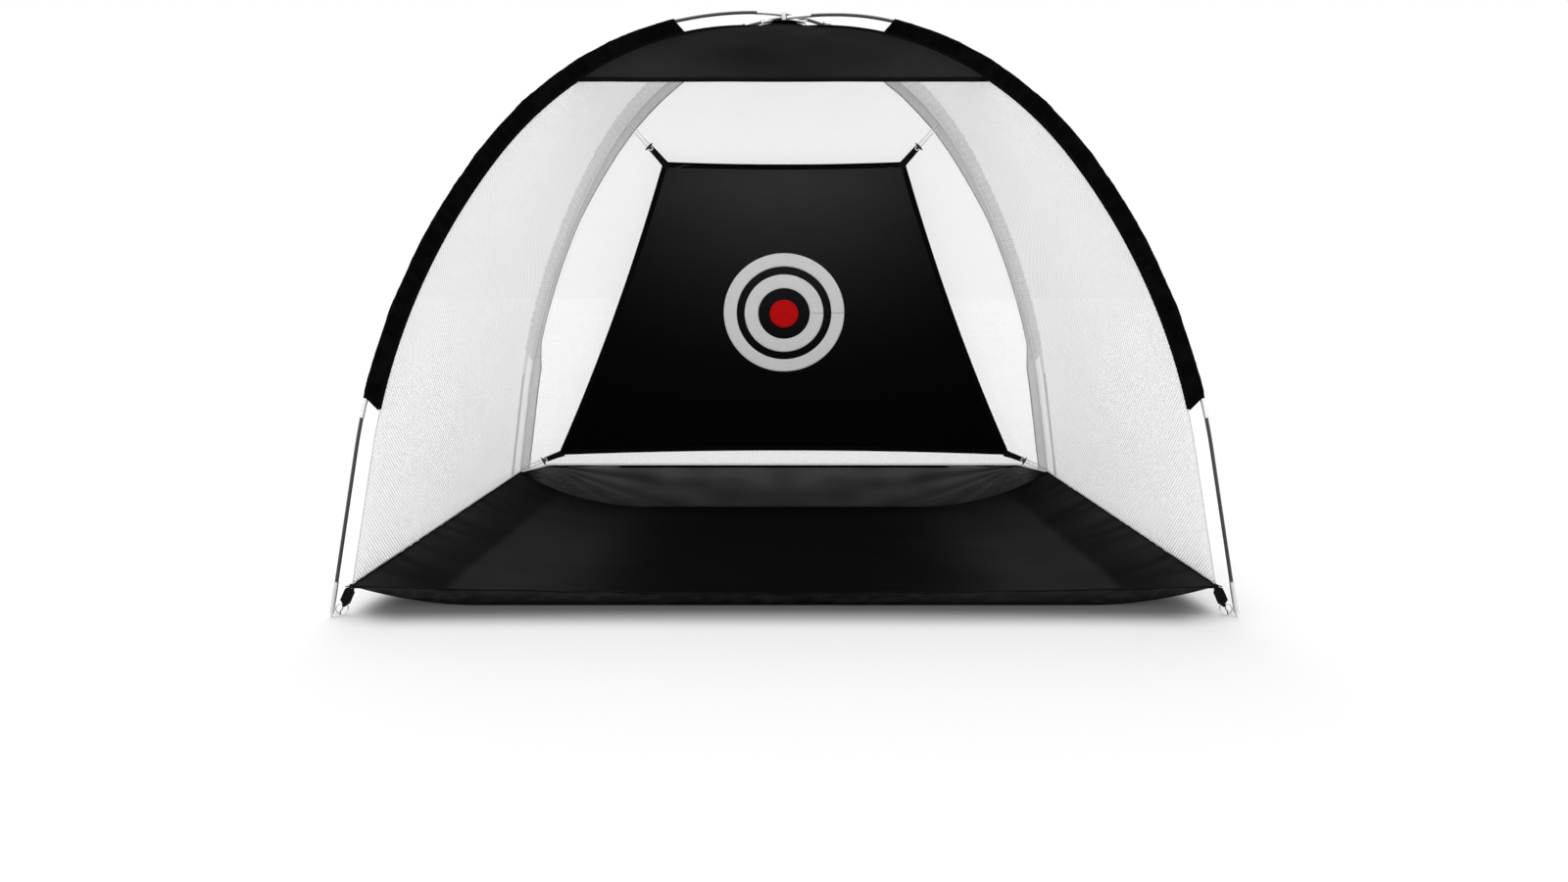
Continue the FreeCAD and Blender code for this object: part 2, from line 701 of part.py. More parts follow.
def gap_wires(surface, length, first):
    """Diamond gaps in rows half a pitch apart, the lowest row over a first border."""
    def width(along):
        share = along / length
        return (surface.value(share, 1) - surface.value(share, 0)).Length

    def place(along, across):
        return along / length, 0.5 + across / width(along)

    reach = d.net_pitch / 2 - d.net_strand / math.sqrt(2)
    step = d.net_pitch / 2
    rows = int((length - first - d.net_border - 2 * reach) / step) + 1
    wires = []
    for row in range(rows):
        along = first + reach + row * step
        room = min(width(along) / 2 - reach, width(along + reach) / 2) - d.net_border
        columns = math.floor(2 * room / d.net_pitch) + 1
        columns -= (columns + row) % 2
        for column in range(columns):
            across = (column - (columns - 1) / 2) * d.net_pitch
            wires.append(gap_wire(surface, [
                place(along - reach, across), place(along, across + reach),
                place(along + reach, across), place(along, across - reach)]))
    return wires


def thicken(face, level):
    """Solid sheet: the face moved inwards by a level vector, and down by as much."""
    return one_solid(face.extrude(level - Vector(0, 0, level.Length)))


def make_side_net(side, sign):
    front = seam_span("front_" + side, d.front_corner_height)
    rear = seam_span("rear_" + side, d.rear_corner_height)
    level = Vector(-sign * d.cloth * SLANT, 0, 0)
    surface = seam_surface(front, rear, level)
    gaps = gap_wires(surface, front[2] - front[1], d.net_border)
    print(side, "net gaps", len(gaps))
    face = surface.toShape()
    face.cutHoles(gaps)
    feature(side + "_net", thicken(face, level))


def rear_hem_points():
    """The rear wall's upper edge, from the left corner to the right."""
    corner = tray_corner_point("rear_left")
    return [Vector(corner.x, 0, corner.z), Vector(-d.rear_hem_length / 2, 0, d.rear_hem_height),
            Vector(d.rear_hem_length / 2, 0, d.rear_hem_height), Vector(-corner.x, 0, corner.z)]


def make_rear_net():
    """Net at the back, its lower edge cut to the tray's rear hem."""
    left = seam_span("rear_left", d.rear_corner_height)
    right = seam_span("rear_right", d.rear_corner_height)
    level = Vector(0, -d.cloth * SLANT, 0)
    surface = seam_surface(left, right, level)
    hem = [point + Vector(0, 0, d.seam_gap) for point in rear_hem_points()]
    below = [Vector(hem[-1].x, 0, 0), Vector(hem[0].x, 0, 0)]
    under = Part.Face(Part.makePolygon(hem + below + hem[:1])).extrude(Vector(0, d.feet_depth, 0))
    face = surface.toShape().cut(under).Faces[0]
    first = seam_start("rear_left", d.rear_hem_height) - left[1] + d.net_border
    gaps = gap_wires(surface, left[2] - left[1], first)
    print("rear net gaps", len(gaps))
    face.cutHoles(gaps)
    feature("rear_net", thicken(face, level))


def make_canopy():
    """Cloth roof between the front sleeves, and its folded hem."""
    hem = cloth_line["front_left"].along_at(d.canopy_hem_height, d.seam_offset)
    hem_end = hem + d.canopy_hem_band
    pieces = [("canopy", hem_end + d.seam_gap, seam_end("front_left"), d.cloth),
              ("canopy_hem", hem, hem_end, d.cloth + d.hem_extra)]
    for label, start, end, thickness in pieces:
        spans = [(cloth_line[corner], start, end) for corner in ("front_left", "front_right")]
        level = Vector(0, thickness * SLANT, 0)
        feature(label, thicken(seam_surface(*spans, level).toShape(), level))


def make_crown():
    """Patch that the panels meet at, and the tape that ties the crossing to it."""
    crossing = cloth_line["front_left"].point(cloth_line["front_left"].length)
    under = crossing - Vector(0, 0, d.seam_offset - d.seam_gap / 2)
    body = doc.addObject("PartDesign::Body", "crown_body")
    sketch = new_sketch(body, "crown_outline")
    half_x, half_y = d.crown_length / 2, d.crown_width / 2
    x_text, y_text = "Sizes.crown_length / 2", "Sizes.crown_width / 2"
    polygon(sketch, [("a", half_x, half_y, x_text, y_text),
                     ("b", -half_x, half_y, "-" + x_text, y_text),
                     ("c", -half_x, -half_y, "-" + x_text, "-" + y_text),
                     ("d", half_x, -half_y, x_text, "-" + y_text)])
    plate = pad(body, sketch, "Sizes.cloth")
    doc.recompute()
    upright = [name for name, edge in named_edges(plate)
               if abs(edge.tangentAt(edge.FirstParameter).z) > 0.9]
    rounding = body.newObject("PartDesign::Fillet", "crown_corners")
    rounding.Base = (plate, upright)
    rounding.setExpression("Radius", "Sizes.crown_corner")
    body.Placement = Placement(under, Rotation())
    keep(body, "crown_patch")
    low = under.z + d.cloth + d.seam_gap
    ferrule_radius = d.rod_diameter / 2 + d.ferrule_clearance + d.ferrule_wall
    high = crossing.z + lift + ferrule_radius + d.crossing_gap
    tape = oval_loop(d.tie_bore, high - low, d.tie_thickness, d.tie_tape)
    upright = Rotation(Vector(0, 1, 0), Vector(0, 0, 1), Vector(1, 0, 0), "ZXY")
    middle = Vector(-d.tie_tape / 2, crossing.y, (low + high) / 2 + d.tie_thickness)
    feature("crown_tie", tape, Placement(middle, upright))


def slot_wire(width, height):
    """A flat oval about the origin: two straight sides and two half circles, Y the long way."""
    radius = width / 2
    rise = height / 2 - radius
    right = Part.LineSegment(Vector(radius, -rise, 0), Vector(radius, rise, 0))
    top = Part.Arc(Vector(radius, rise, 0), Vector(0, rise + radius, 0), Vector(-radius, rise, 0))
    left = Part.LineSegment(Vector(-radius, rise, 0), Vector(-radius, -rise, 0))
    foot = Part.Arc(Vector(-radius, -rise, 0), Vector(0, -rise - radius, 0), Vector(radius, -rise, 0))
    return Part.Wire([curve.toShape() for curve in (right, top, left, foot)])


def oval_loop(width, height, wall, depth):
    """Band round a flat oval hole of a width and height."""
    rim = slot_wire(width + 2 * wall, height + 2 * wall)
    slot = slot_wire(width, height)
    slot.reverse()
    return one_solid(Part.Face([rim, slot]).extrude(Vector(0, 0, depth)))


# Tray


def tray_corner_point(corner):
    return cloth_line[corner].foot_placement().multVec(tray_corner(corner))


def lip_frame():
    """Placement of the lip's plane: local X across, local Y up the lip."""
    corner = tray_corner_point("front_left")
    ground = Vector(0, -d.feet_depth / 2 + d.lip_setback, 0)
    up = (Vector(0, corner.y, corner.z) - ground).normalize()
    return Placement(ground, Rotation(Vector(1, 0, 0), up, Vector(1, 0, 0).cross(up), "ZXY"))


def rear_frame():
    """The same for the upright plane of the rear wall."""
    corner = tray_corner_point("rear_left")
    return Placement(Vector(0, corner.y, 0), Rotation(Vector(1, 0, 0), 90))


def rise_arc(flat, corner, inset=0.0):
    """Arc that leaves the ground level and climbs to a tray corner, as three points.

    The arc is on the right. Its centre stands over the end of the flat part.
    """
    reach = corner.x - flat
    radius = (reach ** 2 + corner.y ** 2) / (2 * corner.y)
    turn = math.asin(reach / radius)
    radius_here = radius - inset
    return [Vector(flat + radius_here * math.sin(angle), radius - radius_here * math.cos(angle), 0)
            for angle in (0, turn / 2, turn)]


def wing_section(frame, flat, corner, side):
    """Outline of the tray's rising side, cut across."""
    low = rise_arc(flat, corner)
    high = rise_arc(flat, corner, d.cloth)
    place = [[frame.multVec(Vector(side * point.x, point.y, 0)) for point in arc] for arc in (low, high)]
    low, high = place
    return Part.Wire([
        Part.Arc(*low).toShape(),
        Part.LineSegment(low[2], high[2]).toShape(),
        Part.Arc(high[2], high[1], high[0]).toShape(),
        Part.LineSegment(high[0], low[0]).toShape(),
    ])


def frame_corner(frame, corner):
    """Tray corner in the lip's or the rear wall's own frame, on the right."""
    local = frame.inverse().multVec(tray_corner_point(corner))
    return Vector(abs(local.x), local.y, 0)


def make_tray_floor():
    """The part of the tray that lies flat on the ground."""
    body = doc.addObject("PartDesign::Body", "tray_floor_body")
    sketch = new_sketch(body, "tray_floor_outline")
    front = -d.feet_depth / 2 + d.lip_setback
    back = rear_frame().Base.y
    depth = back - front
    half_front, half_back = d.front_flat / 2 - d.seam_gap, d.rear_flat / 2 - d.seam_gap
    front_text = "Sizes.front_flat / 2 - Sizes.seam_gap"
    back_text = "Sizes.rear_flat / 2 - Sizes.seam_gap"
    polygon(sketch, [
        ("front_right", half_front, 0, front_text, None),
        ("back_right", half_back, depth, back_text, None),
        ("back_left", -half_back, depth, "-(" + back_text + ")", None),
        ("front_left", -half_front, 0, "-(" + front_text + ")", None),
    ])
    pad(body, sketch, "Sizes.cloth")
    body.Placement = Placement(Vector(0, front, 0), Rotation())
    keep(body, "tray_floor")


def make_tray_wing(name, side):
    front = wing_section(lip_frame(), d.front_flat / 2, frame_corner(lip_frame(), "front_left"), side)
    back = wing_section(rear_frame(), d.rear_flat / 2, frame_corner(rear_frame(), "rear_left"), side)
    feature("tray_%s_wing" % name, one_solid(Part.makeLoft([front, back], True, True)))


def bow_edges(flat, corner):
    """Lower edge of the lip or the rear wall, from the left corner to the right."""
    right = rise_arc(flat, corner)
    left = [Vector(-point.x, point.y, 0) for point in right]
    return [
        Part.Arc(left[2], left[1], left[0]).toShape(),
        Part.LineSegment(left[0], right[0]).toShape(),
        Part.Arc(*right).toShape(),
    ]


def make_front_lip():
    """Sloping front wall of the tray and the folded hem along its top."""
    frame = lip_frame()
    corner = frame_corner(frame, "front_left")
    up = frame.Rotation.multVec(Vector(0, 1, 0))
    clear = (d.seam_gap / 2 + d.cloth) * -up.y / up.z
    middle = corner.y - d.lip_sag
    ground_edge = bow_edges(d.front_flat / 2, corner)
    lip_corner = Vector(corner.x, corner.y, 0)
    sheet_top = hem_arc(lip_corner, middle, -d.tray_hem_band - d.seam_gap)
    lip = trimmed_face(ground_edge, sheet_top, clear).extrude(Vector(0, 0, d.cloth))
    placed = frame.multiply(Placement(Vector(0, 0, d.seam_gap / 2), Rotation()))
    feature("tray_front_lip", one_solid(lip), placed)
    top = hem_arc(lip_corner, middle, 0)
    under = hem_arc(lip_corner, middle, -d.tray_hem_band)
    ends = [Part.LineSegment(top.Vertexes[side].Point, under.Vertexes[side].Point).toShape()
            for side in (0, 1)]
    outline = Part.Face(Part.Wire([top, ends[1], under, ends[0]]))
    hem = outline.extrude(Vector(0, 0, d.cloth + d.hem_extra))
    feature("tray_front_hem", one_solid(hem), placed)


def hem_arc(corner, middle, drop):
    """Hanging upper edge, from the left corner to the right, moved down by a drop."""
    shift = Vector(0, drop, 0)
    return Part.Arc(Vector(-corner.x, corner.y, 0) + shift, Vector(0, middle, 0) + shift,
                    Vector(corner.x, corner.y, 0) + shift).toShape()


def trimmed_face(lower, top, floor):
    """Face above a bowed lower edge and below a hanging upper edge, cut level at the bottom."""
    ends = [lower[0].Vertexes[0].Point, lower[-1].Vertexes[-1].Point]
    chord = Part.LineSegment(ends[1], ends[0]).toShape()
    above = Part.Face(Part.Wire(lower + [chord]))
    left, right = top.Vertexes[0].Point, top.Vertexes[-1].Point
    corners = [right, Vector(right.x, floor, 0), Vector(left.x, floor, 0), left]
    sides = [Part.LineSegment(one, two).toShape() for one, two in zip(corners, corners[1:])]
    below = Part.Face(Part.Wire([top] + sides))
    return above.common(below).Faces[0]


def make_rear_wall():
    """Upright back of the tray and the folded hem along its level top."""
    frame = rear_frame()
    corner = frame_corner(frame, "rear_left")
    lower = bow_edges(d.rear_flat / 2, corner)
    band = Vector(0, -d.tray_hem_band - d.seam_gap, 0)
    hem = [Vector(point.x, point.z, 0) for point in rear_hem_points()]
    level = [hem[1] + band, hem[2] + band]
    top = [hem[0], hem[1], level[0], level[1], hem[2], hem[3]]
    sides = [Part.LineSegment(one, two).toShape() for one, two in zip(top, top[1:])]
    wall = Part.Face(Part.Wire(lower + sides[::-1])).extrude(Vector(0, 0, d.cloth))
    behind = frame.multiply(Placement(Vector(0, 0, -d.seam_gap / 2 - d.cloth), Rotation()))
    feature("tray_rear_wall", one_solid(wall), behind)
    strip_face = primitive("Box", "rear_hem_band", Width="Sizes.tray_hem_band",
                           Length="Sizes.rear_hem_length - 2 * Sizes.seam_gap",
                           Height="Sizes.cloth + Sizes.hem_extra")
    start = Vector(-d.rear_hem_length / 2 + d.seam_gap, d.rear_hem_height - d.tray_hem_band, -d.hem_extra)
    strip_face.Placement = behind.multiply(Placement(start, Rotation()))
    keep(strip_face, "tray_rear_hem")


def make_tray():
    make_tray_floor()
    make_tray_wing("left", -1)
    make_tray_wing("right", 1)
    make_front_lip()
    make_rear_wall()


# Target


def target_frame():
    """Local X across, local Y up the target, local Z out of its face to the front."""
    base = Vector(0, d.feet_depth / 2 - d.target_setback, d.target_foot_height)
    return Placement(base, Rotation(Vector(1, 0, 0), 90 + d.target_lean))


def target_corners():
    low, high = d.target_low_width / 2, d.target_high_width / 2
    return [Vector(-low, 0, 0), Vector(low, 0, 0), Vector(high, d.target_height, 0),
            Vector(-high, d.target_height, 0)]


def sagging_arc(one, two, sag):
    """Arc between two corners that curves to the left of the way from one to two."""
    chord = two - one
    radius = (chord.Length ** 2 / 4 + sag ** 2) / (2 * sag)
    side = Vector(0, 0, 1).cross(chord).normalize()
    centre = (one + two) * 0.5 - side * (radius - sag)
    return Part.ArcOfCircle(Part.Circle(centre, Vector(0, 0, 1), radius),
                            math.atan2(two.y - centre.y, two.x - centre.x),
                            math.atan2(one.y - centre.y, one.x - centre.x))


def target_arcs():
    corners = target_corners()
    sags = [d.target_foot_sag, d.target_side_sag, d.target_top_sag, d.target_side_sag]
    return [sagging_arc(corners[index], corners[(index + 1) % 4], sag) for index, sag in enumerate(sags)]


def make_target_panel():
    body = doc.addObject("PartDesign::Body", "target_body")
    sketch = new_sketch(body, "target_outline")
    corners = target_corners()
    arcs = target_arcs()
    for arc in arcs:
        sketch.addGeometry(arc, False)
    for index in range(4):
        sketch.addConstraint(Sketcher.Constraint("Coincident", index, 1, (index + 1) % 4, 2))
    low, high = "Sizes.target_low_width / 2", "Sizes.target_high_width / 2"
    places = [("low_left", "-" + low, "0"), ("low_right", low, "0"),
              ("high_right", high, "Sizes.target_height"), ("high_left", "-" + high, "Sizes.target_height")]
    for index, (name, x_text, y_text) in enumerate(places):
        corner = corners[index]
        dimension(sketch, "DistanceX", name + "_x", x_text, -1, 1, index, 2, corner.x)
        if y_text == "0":
            sketch.addConstraint(Sketcher.Constraint("PointOnObject", index, 2, -1))
        else:
            dimension(sketch, "DistanceY", name + "_y", y_text, -1, 1, index, 2, corner.y)
    side = "((Sizes.target_low_width - Sizes.target_high_width) ^ 2 / 4 + Sizes.target_height ^ 2)"
    chords = ["Sizes.target_low_width ^ 2", side, "Sizes.target_high_width ^ 2", side]
    sags = ["Sizes.target_foot_sag", "Sizes.target_side_sag", "Sizes.target_top_sag", "Sizes.target_side_sag"]
    for index, (chord, sag) in enumerate(zip(chords, sags)):
        text = "%s / (8 * %s) + %s / 2" % (chord, sag, sag)
        dimension(sketch, "Radius", "bow_%d" % index, text, index, arcs[index].Radius)
    pad(body, sketch, "Sizes.cloth", True)
    body.Placement = target_frame()
    keep(body, "target_panel")


def outline_slab(offset, thickness):
    """The target's outline, grown or shrunk, as a slab about its middle plane."""
    outline = Part.Wire([arc.toShape() for arc in target_arcs()])
    if offset:
        outline = outline.makeOffset2D(offset)
    slab = Part.Face(outline).extrude(Vector(0, 0, thickness))
    slab.translate(Vector(0, 0, -thickness / 2))
    return slab


def make_target_binding():
    """Folded tape round the panel's edge, with the groove that the panel sits in."""
    fold = d.hem_extra / 2 + d.seam_gap
    thickness = d.cloth + 2 * fold
    tape = outline_slab(fold, thickness).cut(outline_slab(-d.target_band, 2 * thickness))
    tape = tape.cut(outline_slab(d.seam_gap / 2, d.cloth + d.seam_gap))
    feature("target_binding", one_solid(tape), target_frame())


def disc(name, radius):
    return primitive("Cylinder", name, Radius=radius, Height="Sizes.print_thickness")


def make_bullseye():
    """Printed rings and dot on the front of the panel."""
    face = target_frame().multiply(Placement(Vector(0, d.bullseye_height, d.cloth / 2), Rotation()))
    rings = []
    for name in ("outer", "inner"):
        ring = doc.addObject("Part::Cut", name + "_ring")
        ring.Base = disc(name + "_disc", "Sizes.bullseye_" + name)
        ring.Tool = disc(name + "_hole", "Sizes.bullseye_%s_inside" % name)
        rings.append(ring)
    group = doc.addObject("Part::Compound", "rings")
    group.Links = rings
    group.Placement = face
    keep(group, "bullseye_rings")
    dot = disc("dot", "Sizes.bullseye_dot")
    dot.Placement = face
    keep(dot, "bullseye_dot")


def anchor_point(corner, height, inset):
    """Place on the inside of a rear seam where a loop is sewn."""
    half = cloth_line[corner]
    inward = d.seam_offset + d.cloth + inset
    return half.point(half.along_at(height, inward), inward)


def strap_frames():
    """Frames of the four corner straps: origin at the target's corner, local X to the seam."""
    frame = target_frame()
    low_left, low_right, high_right, high_left = target_corners()
    high = (d.high_anchor_height, d.high_loop_inset)
    low = (d.low_anchor_height, d.low_loop_inset)
    ends = {
        "top_left": (high_left, "rear_left", high),
        "top_right": (high_right, "rear_right", high),
        "bottom_left": (low_left, "rear_left", low),
        "bottom_right": (low_right, "rear_right", low),
    }
    front = frame.Rotation.multVec(Vector(0, 0, 1))
    found = {}
    for name, (corner, seam, anchor) in ends.items():
        start = frame.multVec(corner)
        aim = anchor_point(seam, *anchor) - start
        length = aim.Length
        aim.normalize()
        across = front.cross(aim).normalize()
        found[name] = (Placement(start, Rotation(aim, across, aim.cross(across), "ZXY")), length)
    return found


def make_straps():
    """Corner straps with their necks, sewn loops and toggles."""
    straps = []
    loops = []
    top = d.strap_thickness / 2 + d.seam_gap + d.loop_thickness
    start = d.seam_gap + d.hem_extra / 2 + d.seam_gap
    for name, (frame, length) in strap_frames().items():
        band = primitive("Box", name + "_band", Width="Sizes.strap_width", Height="Sizes.strap_thickness")
        band.Length = d.toggle_reach + d.neck_width / 2 - start
        band.Placement = Placement(Vector(start, -d.strap_width / 2, -d.strap_thickness / 2), Rotation())
        neck = primitive("Box", name + "_neck", Width="Sizes.neck_width", Length="Sizes.neck_width",
                         Height="Sizes.strap_thickness / 2 + Sizes.seam_gap + Sizes.loop_thickness")
        foot = Vector(d.toggle_reach - d.neck_width / 2, -d.neck_width / 2, 0)
        neck.Placement = Placement(foot, Rotation())
        whole = doc.addObject("Part::Fuse", name + "_strap")
        whole.Base = band
        whole.Tool = neck
        whole.Placement = frame
        straps.append(whole)
        loops.append(loop_shape(frame, d.toggle_reach - d.loop_tail, length))
        make_toggle(name, frame, top + d.toggle_gap)
    group = doc.addObject("Part::Compound", "straps")
    group.Links = straps
    keep(group, "target_straps")
    feature("seam_loops", Part.makeCompound(loops))


def loop_shape(frame, start, end):
    """Flat oval loop that lies over the strap and runs to the seam."""
    solid = oval_loop(d.loop_slot, end - start - 2 * d.loop_tape, d.loop_tape, d.loop_thickness)
    middle = Vector((start + end) / 2, 0, d.strap_thickness / 2 + d.seam_gap)
    solid.Placement = frame.multiply(Placement(middle, Rotation(Vector(0, 0, 1), -90)))
    return solid


def make_toggle(name, frame, height):
    """Round bar with rounded ends that lies across the loop."""
    body = doc.addObject("PartDesign::Body", name + "_toggle_body")
    sketch = new_sketch(body, name + "_toggle_round", "XZ_Plane")
    circle(sketch, "thick", d.toggle_diameter / 2, "Sizes.toggle_diameter / 2")
    bar = pad(body, sketch, "Sizes.toggle_length", True)
    doc.recompute()
    rims = [label for label, edge in named_edges(bar) if len(edge.Vertexes) == 1]
    rounding = body.newObject("PartDesign::Fillet", name + "_toggle_ends")
    rounding.Base = (bar, rims)
    rounding.setExpression("Radius", "Sizes.toggle_rounding")
    place = Placement(Vector(d.toggle_reach, 0, height + d.toggle_diameter / 2), Rotation())
    body.Placement = frame.multiply(place)
    keep(body, name + "_toggle")


def make_target():
    make_target_panel()
    make_target_binding()
    make_bullseye()
    make_straps()


def check_model():
    """Stop if any object failed or any sub-part isn't a whole, valid solid."""
    for item in doc.Objects:
        if "Invalid" in item.State or "Error" in item.State:
            raise RuntimeError("failed object: " + item.Name)
    for item in made:
        if item.Shape.isNull() or not item.Shape.isValid() or not item.Shape.Solids:
            raise RuntimeError("bad shape: " + item.Label)


def export_parts():
    os.makedirs("parts", exist_ok=True)
    for item in made:
        item.Shape.exportStep("parts/%s.step" % item.Label)


make_poles()
make_feet()
make_sleeves()
make_side_net("left", -1)
make_side_net("right", 1)
make_rear_net()
make_canopy()
make_crown()
make_tray()
make_target()
doc.recompute()
check_model()
export_parts()
print("sub-parts", len(made))
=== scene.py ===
import math

import bpy
import numpy as np
from bpy.props import FloatProperty, FloatVectorProperty, PointerProperty
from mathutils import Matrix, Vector


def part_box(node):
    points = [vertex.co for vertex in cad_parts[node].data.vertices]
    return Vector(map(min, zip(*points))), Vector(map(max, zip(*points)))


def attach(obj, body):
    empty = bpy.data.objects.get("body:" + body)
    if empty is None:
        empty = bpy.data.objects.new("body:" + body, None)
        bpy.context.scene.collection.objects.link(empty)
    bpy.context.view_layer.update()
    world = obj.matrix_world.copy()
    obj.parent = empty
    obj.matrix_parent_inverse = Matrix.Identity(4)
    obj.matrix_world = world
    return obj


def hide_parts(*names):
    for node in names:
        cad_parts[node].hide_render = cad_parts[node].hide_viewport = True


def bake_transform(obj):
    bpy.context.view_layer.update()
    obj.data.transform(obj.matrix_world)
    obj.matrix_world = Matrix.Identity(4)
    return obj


bl_info = {
    "name": "Golf chipping net",
    "version": (1, 0, 0),
    "blender": (4, 5, 0),
    "location": "3D View > Sidebar > Chipping net",
    "description": "Builds the cloth, net, finishes and studio of a pop-up golf chipping net",
    "category": "Add Mesh",
}

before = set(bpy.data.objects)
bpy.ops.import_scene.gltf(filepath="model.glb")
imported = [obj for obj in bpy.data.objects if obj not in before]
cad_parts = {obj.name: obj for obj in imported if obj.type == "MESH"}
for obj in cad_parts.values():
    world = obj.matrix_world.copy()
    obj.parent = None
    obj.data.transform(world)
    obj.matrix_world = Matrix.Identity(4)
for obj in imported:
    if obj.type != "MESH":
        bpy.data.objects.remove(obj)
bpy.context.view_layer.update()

CORNERS = ("front_left", "front_right", "rear_left", "rear_right")
# Points along each seam of a panel
STATIONS = 401
TURN = 2 * math.pi
WHITE = (1.0, 1.0, 1.0, 1.0)
ACROSS = np.array([1.0, 0.0, 0.0])
UP = np.array([0.0, 0.0, 1.0])
# Metres from thread to thread of a woven cloth
WEAVE = 0.0011
# Metres from a sleeve's edge to its seam, and from a panel's edge to the seam's plane
SEAM_GAP, PANEL_GAP = 0.0016, 0.0012
# Metres from the middle of a folded tape to its face, and the radius of the corners' cord
TAPE_FACE, CORD = 0.0015, 0.0010
# How many sines make up a ripple
RIPPLE_WAVES = 7


# Settings that a user would change


def length(name, description, default):
    return FloatProperty(name=name, description=description, default=default, unit="LENGTH", precision=4)


def angle(name, description, degrees):
    return FloatProperty(name=name, description=description, default=math.radians(degrees), unit="ROTATION")


def linear(share):
    """One channel of a written colour as the light that it stands for."""
    return share / 12.92 if share <= 0.04045 else ((share + 0.055) / 1.055) ** 2.4


def tint(name, description, written):
    """Colour property from six hexadecimal digits."""
    values = [linear(int(written[at:at + 2], 16) / 255) for at in (0, 2, 4)]
    return FloatVectorProperty(name=name, description=description, default=values, size=3,
                               subtype="COLOR", min=0.0, max=1.0)


class FrameLines(bpy.types.PropertyGroup):
    """Bent poles and the seams beside them that the cloth is sewn along."""

    front_span: length("Front span", "Between the front pole feet", 2.017)
    rear_span: length("Rear span", "Between the rear pole feet", 1.82)
    feet_depth: length("Depth", "From the front feet to the rear feet", 1.042)
    apex_height: length("Apex", "Ground to the crossing", 1.398)
    leg_length: length("Leg", "Straight stretch at the foot of a pole", 0.379)
    leg_lean: angle("Leg lean", "Lean of that stretch", 11.7)
    knee_lean: angle("Knee lean", "Lean where the lower arc hands over to the upper", 39.0)
    crossing_reach: length("Crossing reach", "Stretch where one pole climbs over the other", 0.284)
    crossing_lean: angle("Crossing lean", "Lean in the middle of that stretch", 82.0)
    crossing_lift: length("Crossing lift", "Half the distance between the two poles", 0.0041)
    seam_offset: length("Seam offset", "From a pole's centre line to the seam", 0.032)
    crown_gap: length("Crown gap", "From the ends of the panels to the crossing", 0.035)
    ferrule_radius: length("Ferrule radius", "Outside of the tubes that join the rods", 0.0048)


class SleeveSizes(bpy.types.PropertyGroup):
    """Cloth tubes round the poles."""

    front_foot: length("Front foot", "Height where a front sleeve starts", 0.462)
    rear_foot: length("Rear foot", "Height where a rear sleeve starts", 0.490)
    rear_stop: length("Rear stop", "From the end of a rear sleeve to the crossing", 0.095)
    slant: length("Slant", "How much further a sleeve runs at the seam", 0.022)
    room: length("Room", "Between the cloth and a ferrule", 0.0012)
    cloth: length("Cloth", "Thickness of the sleeve's cloth", 0.0007)
    front_fold: length("Front folds", "Height of the folds in a front sleeve", 0.0016)
    rear_fold: length("Rear folds", "Height of the folds in a rear sleeve", 0.0036)
    fold_pitch: length("Fold pitch", "From one twisted fold to the next", 0.047)


class MeshSizes(bpy.types.PropertyGroup):
    """Knotless mesh of the sides and the back."""

    pitch: length("Pitch", "From one thread to the next", 0.0072)
    thread: length("Thread", "Width of one thread", 0.0011)
    step: length("Step", "Stretch of a thread between two of its points", 0.045)
    hem: length("Hem", "Folded edge of the mesh", 0.0045)
    hem_thickness: length("Hem thickness", "Thickness of that edge", 0.0015)


class CanopySizes(bpy.types.PropertyGroup):
    """Roof between the front sleeves and the patch at the crossing."""

    hem_height: length("Hem height", "Height of the canopy's lower edge", 1.190)
    band: length("Band", "Folded band along that edge", 0.014)
    cloth: length("Cloth", "Thickness of the canopy", 0.0012)
    slack: length("Slack", "How far the middle sags", 0.006)
    crown_length: length("Crown length", "Patch under the crossing, across", 0.112)
    crown_width: length("Crown width", "The same, front to back", 0.074)


class TraySizes(bpy.types.PropertyGroup):
    """Cloth tray that lies on the ground."""

    front_corner: length("Front corners", "Height of the front corners", 0.063)
    rear_corner: length("Rear corners", "Height of the rear corners", 0.115)
    lip_setback: length("Lip", "From the front feet back to the lip's line on the ground", 0.074)
    lip_sag: length("Lip sag", "How far the front hem hangs in the middle", 0.029)
    front_flat: length("Front flat", "Width that lies on the ground at the front", 1.40)
    rear_flat: length("Rear flat", "Width that lies on the ground at the back", 0.90)
    rear_hem_height: length("Rear hem", "Height of the rear wall between its corners", 0.140)
    rear_hem_length: length("Rear hem length", "Level part of the rear hem", 1.526)
    cloth: length("Cloth", "Thickness of the tray's cloth", 0.0013)
    band: length("Band", "Folded band along the front hem", 0.009)
    crease: length("Creases", "Height of the creases on the rising sides", 0.0035)


